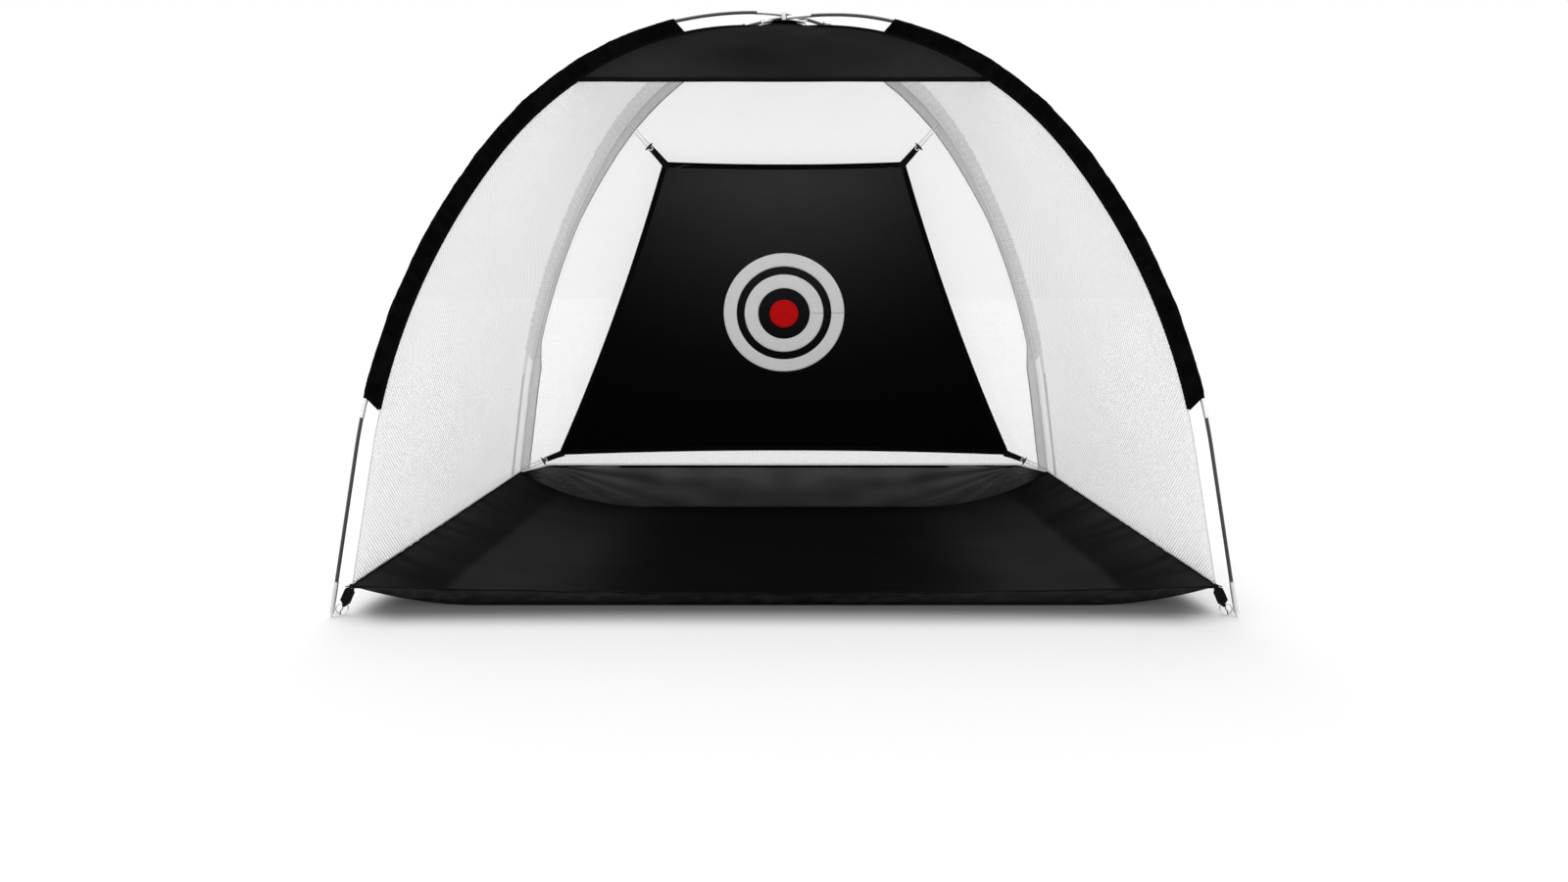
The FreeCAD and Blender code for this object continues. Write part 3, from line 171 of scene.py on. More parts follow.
class TargetSizes(bpy.types.PropertyGroup):
    """Cloth target hung by its corners."""

    setback: length("Setback", "From the rear feet forward to the lower corners", 0.073)
    foot_height: length("Foot height", "Height of the lower corners", 0.184)
    lean: angle("Lean", "Forward lean of the target", 11.2)
    height: length("Height", "Target along its slope", 0.902)
    low_width: length("Low width", "Between the lower corners", 1.444)
    high_width: length("High width", "Between the upper corners", 0.690)
    side_sag: length("Side sag", "How far the side edges curve in", 0.016)
    top_sag: length("Top sag", "How far the top edge hangs", 0.007)
    foot_sag: length("Foot sag", "How far the lower edge curves up", 0.015)
    band: length("Binding", "Tape along the edges", 0.014)
    cloth: length("Cloth", "Thickness of the panel", 0.0014)
    rings_height: length("Rings height", "Centre of the rings above the lower corners", 0.461)
    ring_one: length("Large ring", "Outer radius of the large ring", 0.182)
    ring_one_inside: length("Large ring inside", "Inner radius of the large ring", 0.143)
    ring_two: length("Small ring", "Outer radius of the small ring", 0.119)
    ring_two_inside: length("Small ring inside", "Inner radius of the small ring", 0.078)
    dot: length("Dot", "Radius of the centre", 0.043)
    high_anchor: length("High anchor", "Height of the upper loops on the seams", 1.173)
    low_anchor: length("Low anchor", "Height of the lower loops on the seams", 0.128)
    toggle_reach: length("Toggle reach", "From the target's corner to the toggle", 0.057)
    strap: length("Strap", "Width of a corner strap", 0.018)


class Colours(bpy.types.PropertyGroup):
    """Colours of the finishes. A cloth runs from its low colour to its high one; that run paints light and
    shade on the cloth.
    """

    pole: tint("Pole", "Fibreglass rod", "0C0C0D")
    metal: tint("Aluminium", "Ferrules and tips", "C9CACD")
    wire: tint("Wire", "Peg rings and pins", "D6D7D9")
    elastic: tint("Elastic", "Cord inside the poles", "E2E2DE")
    webbing: tint("Webbing", "Corner tabs and straps", "0B0B0C")
    sleeve_low: tint("Black sleeve, low", "Cloth round the front poles", "020202")
    sleeve_high: tint("Black sleeve, high", "The same where a fold catches light", "161617")
    # Pale sleeve: the high colour is painted highlights along the rear sleeves' folds, and most of the flat
    # facing strip.
    pale_low: tint("Pale sleeve, low", "Cloth round the rear poles", "868687")
    pale_high: tint("Pale sleeve, high", "The same where it lies flat", "E4E4E4")
    net: tint("Net", "Threads of the mesh", "FAFAFA")
    # Canopy: the high colour is painted light, lighter towards the hem and the sleeves.
    canopy_low: tint("Canopy, low", "Roof cloth in the middle", "0B0B0C")
    canopy_high: tint("Canopy, high", "Roof cloth near the sleeves", "272728")
    binding: tint("Binding", "Tape along the edges", "030303")
    tie: tint("Tie", "Tape round the crossing", "F4F4F4")
    # Tray: the run from low to high is painted light and shade: dark in the middle and at the back, lighter on
    # the rising sides, the lip's sides and the rear wall's middle.
    tray_low: tint("Tray, low", "Tray cloth in the middle", "060607")
    tray_high: tint("Tray, high", "Tray cloth where it rises", "5C5C5D")
    # Target: the high colour is painted light, lighter towards the top of the cloth and its middle.
    target_low: tint("Target, low", "Target cloth at its foot", "040405")
    target_high: tint("Target, high", "Target cloth at its top", "343435")
    print_grey: tint("Rings", "Printed rings", "DCDCDD")
    print_red: tint("Dot", "Printed centre", "C00404")
    toggle: tint("Toggle", "Moulded toggles", "0D0D0E")


class StudioSizes(bpy.types.PropertyGroup):
    """Camera, lamps and floor."""

    lens: FloatProperty(name="Lens", description="Focal length of the camera, in millimetres", default=21.74)
    distance: length("Distance", "From the middle of the net to the camera", 2.533)
    eye_height: length("Eye height", "Ground to the camera", 0.747)
    tilt: angle("Tilt", "How far the camera looks down", 9.87)
    sky: FloatProperty(name="Sky", description="Strength of the light from all round", default=0.38)
    sun: FloatProperty(name="Sun", description="Strength of the broad light from above", default=1.9)
    sun_height: angle("Sun height", "How far the broad light stands over the horizon", 66.0)
    fill: FloatProperty(name="Fill", description="Strength of each low light from the front", default=1.25)
    fill_side: angle("Fill side", "How far to each side the low lights stand", 42.0)
    fill_height: angle("Fill height", "How far the low lights stand over the horizon", 9.0)
    lamp_width: angle("Lamp width", "How broad the lights are", 58.0)
    floor_size: length("Floor", "Side of the floor", 60.0)


GROUPS = {
    "net_frame": FrameLines, "net_sleeves": SleeveSizes, "net_mesh": MeshSizes, "net_canopy": CanopySizes,
    "net_tray": TraySizes, "net_target": TargetSizes, "net_colours": Colours, "net_studio": StudioSizes,
}


def settings(name):
    return getattr(bpy.context.scene, name)


# Shader maths


class Value:
    """A number that varies over a surface. Arithmetic on it adds Math nodes."""

    def __init__(self, nodes, socket):
        self.nodes = nodes
        self.socket = socket

    def math(self, operation, other=0.0, flipped=False):
        one, two = (other, self) if flipped else (self, other)
        return self.nodes.node("ShaderNodeMath", {"operation": operation}, {"0": one, "1": two})

    def __add__(self, other):
        return self.math("ADD", other)

    def __sub__(self, other):
        return self.math("SUBTRACT", other)

    def __rsub__(self, other):
        return self.math("SUBTRACT", other, flipped=True)

    def __mul__(self, other):
        return self.math("MULTIPLY", other)

    def __truediv__(self, other):
        return self.math("DIVIDE", other)

    def __rtruediv__(self, other):
        return self.math("DIVIDE", other, flipped=True)

    __radd__, __rmul__ = __add__, __mul__

    def wave(self):
        """Sine of turns, from 0 to 1."""
        return (self * TURN).math("SINE") * 0.5 + 0.5

    def held(self):
        return self.math("MAXIMUM", 0.0).math("MINIMUM", 1.0)


class Nodes:
    """A node tree, and the one method that adds a node to it."""

    def __init__(self, owner):
        owner.use_nodes = True
        self.tree = owner.node_tree
        self.tree.nodes.clear()

    def node(self, kind, options=None, sockets=None, output=0):
        """Add a node: its settings first, then the values or links of its sockets."""
        made = self.tree.nodes.new(kind)
        for name, value in (options or {}).items():
            setattr(made, name, value)
        for name, value in (sockets or {}).items():
            socket = self.socket(made.inputs, name)
            if isinstance(value, Value):
                self.tree.links.new(value.socket, socket)
            else:
                socket.default_value = value
        return Value(self, self.socket(made.outputs, output)) if len(made.outputs) else made

    @staticmethod
    def socket(sockets, name):
        if isinstance(name, int) or name.isdigit():
            return sockets[int(name)]
        for socket in sockets:
            if socket.identifier == name:
                return socket
        return sockets[name]

    def axes(self, where):
        """The first two numbers of a place."""
        return [self.node("ShaderNodeSeparateXYZ", None, {"0": where}, axis) for axis in (0, 1)]


class Finish(Nodes):
    """A procedural material round one Principled shader."""

    def __init__(self, name, **constants):
        self.material = bpy.data.materials.new(name)
        super().__init__(self.material)
        shader = self.node("ShaderNodeBsdfPrincipled")
        self.node("ShaderNodeOutputMaterial", None, {"Surface": shader})
        self.inputs = shader.socket.node.inputs
        for name, value in constants.items():
            self.inputs[name.replace("_", " ")].default_value = value

    def set(self, name, value):
        self.tree.links.new(value.socket, self.inputs[name])

    def noise(self, scale, detail=2.0, stretch=None):
        where = self.node("ShaderNodeTexCoord", output="Object")
        if stretch:
            where = self.node("ShaderNodeVectorMath", {"operation": "MULTIPLY"}, {"0": where, "1": stretch})
        return self.node("ShaderNodeTexNoise", None, {"Vector": where, "Scale": scale, "Detail": detail}, "Fac")

    def blend(self, share, one, two):
        """Colour from one to two."""
        return self.node("ShaderNodeMix", {"data_type": "RGBA"},
                         {"Factor_Float": share, "A_Color": one, "B_Color": two}, "Result_Color")

    def tones(self, share, colour, low, high):
        """A colour that runs between two of its shades."""
        return self.blend(share, *([min(1.0, channel * part) for channel in colour[:3]] + [1.0]
                                   for part in (low, high)))

    def cloth_place(self):
        """Metres across and along the cloth."""
        return self.axes(self.node("ShaderNodeUVMap", {"uv_map": "cloth"}))

    def done(self, colour, roughness, height, distance, strength=1.0):
        """Set colour, roughness and bump, and give the material back."""
        self.set("Base Color", colour)
        self.set("Roughness", roughness)
        self.set("Normal", self.node("ShaderNodeBump", None,
                                     {"Height": height, "Distance": distance, "Strength": strength}))
        return self.material


def woven(name, low, high, specular, sheen=0.02, rough=0.85, vary=0.2):
    """Plain woven cloth: threads over and under, a patchy shade, a soft edge light.

    The colour runs from low to high with the attribute "pale" of the cloth's points, which carries painted
    light and shade.
    """
    finish = Finish(name, Sheen_Weight=sheen, Sheen_Roughness=0.5, Specular_IOR_Level=specular)
    across, along = finish.cloth_place()
    threads = (across / WEAVE).wave() * (along / WEAVE).wave()
    fine = finish.noise(420.0)
    mixed = (finish.noise(9.0, 4.0) * 0.65 + fine * 0.2 + threads * 0.15).held()
    pale = finish.node("ShaderNodeAttribute", {"attribute_name": "pale"}, output="Fac").held()
    ends = [finish.tones(mixed, colour, 1 - vary, 1 + vary) for colour in (low, high)]
    return finish.done(finish.blend(pale, *ends), fine * 0.12 + (rough - 0.06), threads + fine * 0.6, 0.00018)


def taped(name, colour, specular=0.04):
    """Ribbed tape or webbing."""
    finish = Finish(name, Sheen_Weight=0.01, Specular_IOR_Level=specular)
    across, along = finish.cloth_place()
    pitch = 0.0021
    ribs = (along / pitch).wave()
    twill = ((across + along) / (pitch * 1.3)).wave()
    fine = finish.noise(600.0)
    return finish.done(finish.tones((ribs * 0.4 + fine * 0.4).held(), colour, 0.72, 1.35), fine * 0.14 + 0.68,
                       ribs * 0.7 + twill * 0.3, 0.00022)


def drawn_metal(name, colour, rough):
    """Drawn tube or wire: fine scratches along it and a little dulling."""
    finish = Finish(name, Metallic=1.0)
    scratches = finish.noise(90.0, 3.0, (6.0, 6.0, 1.0))
    dull = finish.noise(18.0, 3.0)
    return finish.done(finish.tones((dull * 0.7 + scratches * 0.3).held(), colour, 0.82, 1.06),
                       (scratches * 0.18 + dull * 0.1 + (rough - 0.12)).held(), scratches, 0.00004, 0.5)


def rod_black(name, colour):
    """Pultruded fibreglass: gloss with faint lengthwise lines."""
    finish = Finish(name, Coat_Weight=0.25, Coat_Roughness=0.2)
    lines = finish.noise(140.0, 3.0, (5.0, 5.0, 0.6))
    return finish.done(finish.tones(lines, colour, 0.7, 1.5), lines * 0.2 + 0.26, lines, 0.00005, 0.6)


def thread_white(name, colour):
    """Spun polyester thread."""
    finish = Finish(name, Sheen_Weight=0.1, Specular_IOR_Level=0.3)
    twist = finish.noise(900.0)
    mixed = (twist * 0.5 + finish.noise(7.0, 3.0) * 0.5).held()
    return finish.done(finish.tones(mixed, colour, 0.9, 1.03), twist * 0.2 + 0.5, twist, 0.0001)


def printed(name, colour):
    """Screen print on cloth: flat colour with the weave showing through."""
    finish = Finish(name, Specular_IOR_Level=0.08)
    across, along = finish.cloth_place()
    threads = (across / WEAVE).wave() * (along / WEAVE).wave()
    worn = finish.noise(60.0, 4.0)
    return finish.done(finish.tones((worn * 0.6 + threads * 0.3).held(), colour, 0.9, 1.05), worn * 0.15 + 0.5,
                       threads, 0.00012)


def moulded(name, colour):
    """Moulded plastic with a fine grain."""
    finish = Finish(name)
    grain = finish.noise(1500.0)
    return finish.done(finish.tones(grain, colour, 0.8, 1.3), grain * 0.2 + 0.32, grain, 0.00005)


FINISHES = {
    "pole_black": (rod_black, ("pole",), {}),
    "aluminium": (drawn_metal, ("metal",), {"rough": 0.3}),
    "steel": (drawn_metal, ("wire",), {"rough": 0.2}),
    "elastic": (thread_white, ("elastic",), {}),
    "webbing": (taped, ("webbing",), {"specular": 0.08}),
    "sleeve_black": (woven, ("sleeve_low", "sleeve_high"), {"specular": 0.02, "sheen": 0.0}),
    "sleeve_pale": (woven, ("pale_low", "pale_high"), {"specular": 0.2, "vary": 0.06, "rough": 0.7}),
    "net_white": (thread_white, ("net",), {}),
    "canopy_cloth": (woven, ("canopy_low", "canopy_high"), {"specular": 0.02, "sheen": 0.0, "vary": 0.12}),
    "binding_black": (taped, ("binding",), {}),
    "tie_white": (taped, ("tie",), {"specular": 0.3}),
    "tray_cloth": (woven, ("tray_low", "tray_high"), {"specular": 0.02, "sheen": 0.0}),
    "target_cloth": (woven, ("target_low", "target_high"), {"specular": 0.02, "sheen": 0.0, "vary": 0.1}),
    "print_grey": (printed, ("print_grey",), {}),
    "print_red": (printed, ("print_red",), {}),
    "toggle_plastic": (moulded, ("toggle",), {}),
}


def material(slot):
    """The finish of a slot, made once."""
    found = bpy.data.materials.get("net_" + slot)
    if found:
        return found
    make, names, extra = FINISHES[slot]
    colours = settings("net_colours")
    return make("net_" + slot, *(getattr(colours, name) for name in names), **extra)


# Mesh helpers


def held(values):
    """Values kept from 0 to 1."""
    return np.clip(values, 0, 1)


def ramp(count):
    """Numbers from 0 to 1, as a column."""
    return np.linspace(0, 1, count)[:, None]


def new_mesh(name, points, faces, cloth=None, pale=None):
    """Mesh object from arrays, with metres of cloth as its UV map and its pale share where given."""
    mesh = bpy.data.meshes.new(name)
    mesh.from_pydata(np.asarray(points, float).tolist(), [], faces)
    mesh.validate()
    mesh.polygons.foreach_set("use_smooth", [True] * len(mesh.polygons))
    if cloth is not None:
        layer = mesh.uv_layers.new(name="cloth")
        corners = np.zeros(len(mesh.loops), int)
        mesh.loops.foreach_get("vertex_index", corners)
        layer.data.foreach_set("uv", np.asarray(cloth, float)[corners].ravel())
    if pale is not None:
        marks = mesh.attributes.new("pale", "FLOAT", "POINT")
        marks.data.foreach_set("value", held(pale).ravel().astype(float))
    mesh.update()
    piece = bpy.data.objects.new(name, mesh)
    bpy.context.scene.collection.objects.link(piece)
    return piece


def grid_faces(rows, columns, closed=False, joined=False, base=0):
    """Quads between rows of points. Closed joins the last column to the first, joined the last row."""
    faces = []
    for row in range(rows if joined else rows - 1):
        here, ahead = base + row * columns, base + (row + 1) % rows * columns
        for column in range(columns if closed else columns - 1):
            beside = (column + 1) % columns
            faces.append((here + column, here + beside, ahead + beside, ahead + column))
    return faces


def lengths_along(points, axis=0):
    """Metres run along a line, or along one axis of a grid of points."""
    steps = np.linalg.norm(np.diff(points, axis=axis), axis=-1)
    start = np.zeros_like(np.take(steps, [0], axis=axis))
    return np.cumsum(np.concatenate([start, steps], axis=axis), axis=axis)


def read_table(at, places, table):
    """Rows of a table of vectors, read between its own places too."""
    return np.stack([np.interp(at, places, column) for column in table.T], axis=-1)


def sheet_piece(name, points, thickness=0.0, closed=False, cloth=None, offset=0.0, pale=None):
    """Piece of cloth from a grid of points (rows, columns, 3)."""
    rows, columns = points.shape[:2]
    if cloth is None:
        across = lengths_along(points, 1)
        cloth = np.stack([across - across[:, -1:] / 2, lengths_along(points)], axis=2)
    piece = new_mesh(name, points.reshape(-1, 3), grid_faces(rows, columns, closed), cloth.reshape(-1, 2), pale)
    if thickness:
        solid = piece.modifiers.new("thickness", "SOLIDIFY")
        solid.thickness = thickness
        solid.offset = offset
        solid.use_even_offset = False
    return piece


class Strips:
    """Many tubes in one mesh, each given as rings of points (stations, sides, 3)."""

    def __init__(self):
        self.points, self.faces, self.cloth, self.total = [], [], [], 0

    def add(self, rings, closed=False):
        stations, sides = rings.shape[:2]
        base, end = self.total, self.total + (stations - 1) * sides
        self.points.append(rings.reshape(-1, 3))
        places = np.meshgrid(lengths_along(rings[0]), lengths_along(rings.mean(axis=1)))
        self.cloth.append(np.stack(places, axis=2).reshape(-1, 2))
        self.faces += grid_faces(stations, sides, True, closed, base)
        if not closed:
            self.faces += [tuple(range(base + sides - 1, base - 1, -1)), tuple(range(end, end + sides))]
        self.total += stations * sides
        return self

    def stitches(self, line, up, pitch=0.0046, share=0.68, thread=0.0005):
        """A row of stitches: short arched threads that stand on the cloth along a line."""
        run = lengths_along(line)
        lifts = np.array([-0.6, 0.7, -0.6])[:, None] * thread
        for start in np.arange(pitch, run[-1] - pitch, pitch):
            place = read_table(start + np.linspace(0, pitch * share, 3), run, line)
            above = read_table(start, run, up)
            side = unit(np.cross(place[2] - place[0], above)) * thread
            place, rise = place + above * lifts, above * thread
            self.add(np.stack([place + side, place + rise, place - side, place - rise], axis=1))

    def piece(self, name, slot, body, *nodes):
        made = new_mesh(name, np.concatenate(self.points), self.faces, np.concatenate(self.cloth))
        return finish_piece(made, slot, body, *nodes)


def unit(vectors):
    return vectors / np.maximum(np.linalg.norm(vectors, axis=-1, keepdims=True), 1e-12)


def directions(points, closed=False):
    """Direction of a run at each of its points."""
    if closed:
        return unit(np.roll(points, -1, axis=0) - np.roll(points, 1, axis=0))
    return unit(np.gradient(points, axis=0))


def flat_rings(points, sideways, normals, width, thickness):
    """Rings of a flat tape: eight points each, its edges rounded. The width may change along it."""
    half, high = width / 2, thickness / 2
    inner = half - thickness * 0.35
    low = high * 0.45
    outline = [(inner, high), (half, low), (half, -low), (inner, -high),
               (-inner, -high), (-half, -low), (-half, low), (-inner, high)]
    return np.stack([points + sideways * x + normals * z for x, z in outline], axis=1)


def tape_rings(line, side, width, thickness, closed=False):
    """Rings of a flat tape whose width runs along side."""
    return flat_rings(line, side, unit(np.cross(directions(line, closed), side)), width, thickness)


def circle(count):
    """Angles round a circle, as a column."""
    return (np.arange(count) * TURN / count)[:, None]


def round_rings(points, radius, sides=8, guide=UP):
    """Rings of a round cord that don't twist. The radius may change along it."""
    rings = []
    for place, way, radius in zip(points, directions(points), np.broadcast_to(radius, len(points))):
        guide = guide - way * guide.dot(way)
        guide = guide / np.linalg.norm(guide)
        turns = circle(sides)
        rings.append(place + radius * (np.cos(turns) * guide + np.sin(turns) * np.cross(way, guide)))
    return np.array(rings)


def smooth_line(controls, samples):
    """Points on a smooth line through a few places."""
    controls = np.asarray(controls, float)
    padded = np.vstack([2 * controls[0] - controls[1], controls, 2 * controls[-1] - controls[-2]])
    shares = np.linspace(0, len(controls) - 1, samples)
    spans = np.minimum(shares.astype(int), len(controls) - 2)
    t = (shares - spans)[:, None]
    a, b, c, e = (padded[spans + step] for step in range(4))
    return 0.5 * (2 * b + (c - a) * t + (2 * a - 5 * b + 4 * c - e) * t ** 2 + (3 * b - a - 3 * c + e) * t ** 3)


def ripple(x, y, size, seed):
    """Irregular waves from about -1 to 1, the same each run."""
    draw = np.random.RandomState(seed)
    total = np.zeros_like(np.asarray(x, float) + np.asarray(y, float))
    for _ in range(RIPPLE_WAVES):
        way = draw.uniform(0, TURN)
        wave = size * draw.uniform(0.6, 1.7)
        total = total + np.sin((x * math.cos(way) + y * math.sin(way)) * TURN / wave + draw.uniform(0, TURN))
    return total / 3.2


def creases(along, up, span, total, seed):
    """Soft folds that hang from an edge. Along runs beside it, up from the folds' foot (0) to it (1)."""
    draw = np.random.RandomState(seed)
    height = np.zeros(np.broadcast(along, up).shape)
    for number in range(total):
        start = span * (number + draw.uniform(0.1, 0.9)) / total
        drift, wide = draw.uniform(-0.09, 0.04), draw.uniform(0.006, 0.024)
        reach, rise = draw.uniform(0.4, 1.0), draw.choice([-1.0, 1.0]) * draw.uniform(0.35, 1.0)
        off = (along - start - drift * (1 - up)) / (wide * (1.7 - 0.7 * up))
        height = height + rise * held((up - 1 + reach) / reach) * np.exp(-off ** 2)
    return height


def ridge(values):
    """Rounded valleys turned into narrow creases, from 0 to 1."""
    return held(1 - np.abs(values) * 1.6) ** 2


# Lines of the poles and seams


def two_arcs(start, end, lean, middle, last):
    """Radii of two arcs that join two points, with the leans at start, middle and end."""
    run, rise = end[0] - start[0], end[1] - start[1]
    run_one, run_two = math.cos(lean) - math.cos(middle), math.cos(middle) - math.cos(last)
    rise_one, rise_two = math.sin(middle) - math.sin(lean), math.sin(last) - math.sin(middle)
    scale = run_one * rise_two - run_two * rise_one
    return (run * rise_two - run_two * rise) / scale, (run_one * rise - run * rise_one) / scale


class HalfPole:
    """Half of a bent pole, from its foot to the crossing, in its own upright plane."""

    def __init__(self, corner, lift=0.0):
        sizes = settings("net_frame")
        front, side = corner.startswith("front"), -1 if corner.endswith("left") else 1
        span, other = sizes.front_span, sizes.rear_span
        if not front:
            span, other = other, span
        self.leg, self.lean = sizes.leg_length, sizes.leg_lean
        self.foot = np.array([side * span / 2, (-0.5 if front else 0.5) * sizes.feet_depth, 0.0])
        ray = np.array([-side * other / 2, -self.foot[1], 0.0]) - self.foot
        reach = float(np.linalg.norm(ray))
        self.plan = ray / reach
        self.normal = np.cross(UP, self.plan)
        run = reach * span / (span + other)
        level, knee = math.pi / 2, sizes.knee_lean
        start = (self.leg * math.sin(self.lean), self.leg * math.cos(self.lean))
        low, high = two_arcs(start, (run, sizes.apex_height), self.lean, knee, level)
        self.bends = [(low, self.lean, knee), (high, knee, level)]
        if lift:
            leave = level - sizes.crossing_reach / high
            left = (run - high * math.cos(leave), sizes.apex_height - high * (1 - math.sin(leave)))
            middle = sizes.crossing_lean
            first, last = two_arcs(left, (run, sizes.apex_height + lift), leave, middle, level)
            self.bends = [self.bends[0], (high, knee, leave), (first, leave, middle), (last, middle, level)]
        self.length = self.leg + sum(radius * (end - begin) for radius, begin, end in self.bends)

    def line(self, along, inward=0.0):
        """Run, height and lean in the pole's plane."""
        along = np.asarray(along, float)
        lean = np.full_like(along, self.lean)
        run = np.minimum(along, self.leg) * math.sin(self.lean)
        height = np.minimum(along, self.leg) * math.cos(self.lean)
        start = self.leg
        for radius, first, last in self.bends:
            turned = np.clip(first + (along - start) / radius, first, last)
            lean = np.where(along > start, turned, lean)
            run = run + np.where(along > start, radius * (math.cos(first) - np.cos(turned)), 0)
            height = height + np.where(along > start, radius * (np.sin(turned) - math.sin(first)), 0)
            start += radius * (last - first)
        return run + inward * np.cos(lean), height - inward * np.sin(lean), lean

    def point(self, along, inward=0.0, sideways=0.0):
        run, height = self.line(along, inward)[:2]
        run, height = np.asarray(run)[..., None], np.asarray(height)[..., None]
        across = np.asarray(sideways, float)[..., None] if np.ndim(sideways) else sideways
        return self.foot + self.plan * run + self.normal * across + UP * height

    def inward(self, along):
        """Direction from the pole to its seam."""
        lean = np.asarray(self.line(along)[2])[..., None]
        return self.plan * np.cos(lean) - UP * np.sin(lean)

    def along_at(self, height, inward=0.0):
        places = np.linspace(0, self.length, 6001)
        return float(np.interp(height, self.line(places, inward)[1], places))


def lifted(corner):
    """The pole itself, which climbs over or under the other at the crossing."""
    sign = 1 if corner in ("front_left", "rear_right") else -1
    return HalfPole(corner, sign * settings("net_frame").crossing_lift)


class Panel:
    """Cloth between two seams. Along runs up it, across runs from its middle line."""

    def __init__(self, corners, starts, ends, outward):
        sizes = settings("net_frame")
        shares = np.linspace(0, 1, STATIONS)
        self.seams = []
        halves = [HalfPole(corner) for corner in corners]
        for at in (0, 1):
            half, other = halves[at], halves[1 - at]
            sign = -1 if half.normal.dot(other.foot - half.foot) < 0 else 1
            places = starts[at] + (ends[at] - starts[at]) * shares
            self.seams.append(half.point(places, sizes.seam_offset, sign * PANEL_GAP))
        self.run = lengths_along((self.seams[0] + self.seams[1]) / 2)
        self.length = float(self.run[-1])
        self.width = np.linalg.norm(self.seams[1] - self.seams[0], axis=1)
        span = self.seams[1] - self.seams[0]
        normals = [unit(np.cross(span, directions(seam))) for seam in self.seams]
        sign = 1 if normals[0][0].dot(outward) > 0 else -1
        self.normals = [sign * normal for normal in normals]

    def width_at(self, along):
        return np.interp(along, self.run, self.width)

    def mixed(self, tables, along, across):
        one, two = (read_table(along, self.run, table) for table in tables)
        return one + (two - one) * (0.5 + across / self.width_at(along))[..., None]

    def place(self, along, across):
        return self.mixed(self.seams, along, across)

    def normal(self, along, across):
        return unit(self.mixed(self.normals, along, across))

    def tape(self, along, across, lift=0.0):
        """A line on the cloth, the cloth's normals there, and the directions across a tape on it."""
        normal = self.normal(along, across)
        line = self.place(along, across) + normal * np.asarray(lift)[..., None]
        return line, normal, unit(np.cross(normal, directions(line)))

    def area(self):
        return float(np.trapz(self.width, self.run))


# Studio


class StageOperator(bpy.types.Operator):
    """Make the pale floor, the soft lamps and the camera"""

    bl_idname = "chipping_net.stage"
    bl_label = "Studio"

    def execute(self, context):
        studio = settings("net_studio")
        half = studio.floor_size / 2
        corners = ((-half, -half), (half, -half), (half, half), (-half, half))
        floor = new_mesh("floor", [(*corner, -0.0006) for corner in corners], [(0, 1, 2, 3)])
        floor.data.materials.append(self.floor_material())
        self.sky(context, studio.sky)
        over, aside = studio.sun_height, studio.fill_side
        self.lamp(context, "sun", studio.sun, (0.12, -math.cos(over), -math.sin(over)))
        for side, name in ((-1, "left"), (1, "right")):
            way = (-side * math.sin(aside), math.cos(aside), -math.tan(studio.fill_height))
            self.lamp(context, name, studio.fill, way)
        self.camera(context, studio)
        context.scene.view_settings.view_transform = "Standard"
        return {"FINISHED"}

    @staticmethod
    def floor_material():
        """White paper that keeps the object's shadow, with a painted shadow that darkens it close to the tray's
        front edge.
        """
        sizes, tray = settings("net_frame"), settings("net_tray")
        finish = Finish("studio_floor", Roughness=1.0, Specular_IOR_Level=0.0, Emission_Color=WHITE)
        x, y = finish.axes(finish.node("ShaderNodeTexCoord", output="Object"))
        # Painted shadow: a soft dark pool in the floor's colour in front of the tray's lip.
        aside = (x.math("ABSOLUTE") - 0.42 * sizes.front_span).math("MAXIMUM", 0.0)
        ahead = y + (sizes.feet_depth / 2 - tray.lip_setback)
        near = (aside * aside + ahead * ahead) / 0.0128
        near = (near * near * -1.0).math("EXPONENT")
        finish.set("Base Color", finish.blend(near * 0.7, (0.95, 0.95, 0.95, 1.0), (0.0, 0.0, 0.0, 1.0)))
        finish.set("Emission Strength", finish.node("ShaderNodeLightPath", output="Is Camera Ray") * 0.02)
        return finish.material

    @staticmethod
    def sky(context, strength):
        world = bpy.data.worlds.new("studio_sky")
        context.scene.world = world
        nodes = Nodes(world)
        seen = nodes.node("ShaderNodeLightPath", output="Is Camera Ray")
        for name in ("Is Glossy Ray", "Is Transmission Ray"):
            seen = seen.math("MAXIMUM", nodes.node("ShaderNodeLightPath", output=name))
        light = nodes.node("ShaderNodeBackground", None,
                           {"Color": WHITE, "Strength": seen * (1.0 - strength) + strength})
        nodes.node("ShaderNodeOutputWorld", None, {"Surface": light})

    @staticmethod
    def lamp(context, name, strength, way):
        """Very broad light. Its shadow shows only close to what casts it."""
        lamp = bpy.data.lights.new("lamp_" + name, "SUN")
        lamp.energy = strength
        lamp.angle = settings("net_studio").lamp_width
        item = bpy.data.objects.new("lamp_" + name, lamp)
        item.rotation_euler = Vector(way).to_track_quat("-Z", "Y").to_euler()
        context.scene.collection.objects.link(item)

    @staticmethod
    def camera(context, studio):
        lens = bpy.data.cameras.new("camera")
        lens.sensor_width = 36.0
        lens.lens = studio.lens
        lens.clip_end = 200.0
        camera = bpy.data.objects.new("camera", lens)
        camera.location = (0.0, -studio.distance, studio.eye_height)
        camera.rotation_euler = (math.pi / 2 - studio.tilt, 0.0, 0.0)
        context.scene.collection.objects.link(camera)
        context.scene.camera = camera


# Pieces


def dress(slot, *names):
    """Give CAD nodes the finish of their slot."""
    for name in names:
        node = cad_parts[name]
        node.data.materials.clear()
        node.data.materials.append(material(slot))
        for face in node.data.polygons:
            face.material_index = 0


def box_middle(node):
    """Middle and size of the box of a CAD node."""
    low, high = (np.array(place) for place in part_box(node))
    return (low + high) / 2, high - low


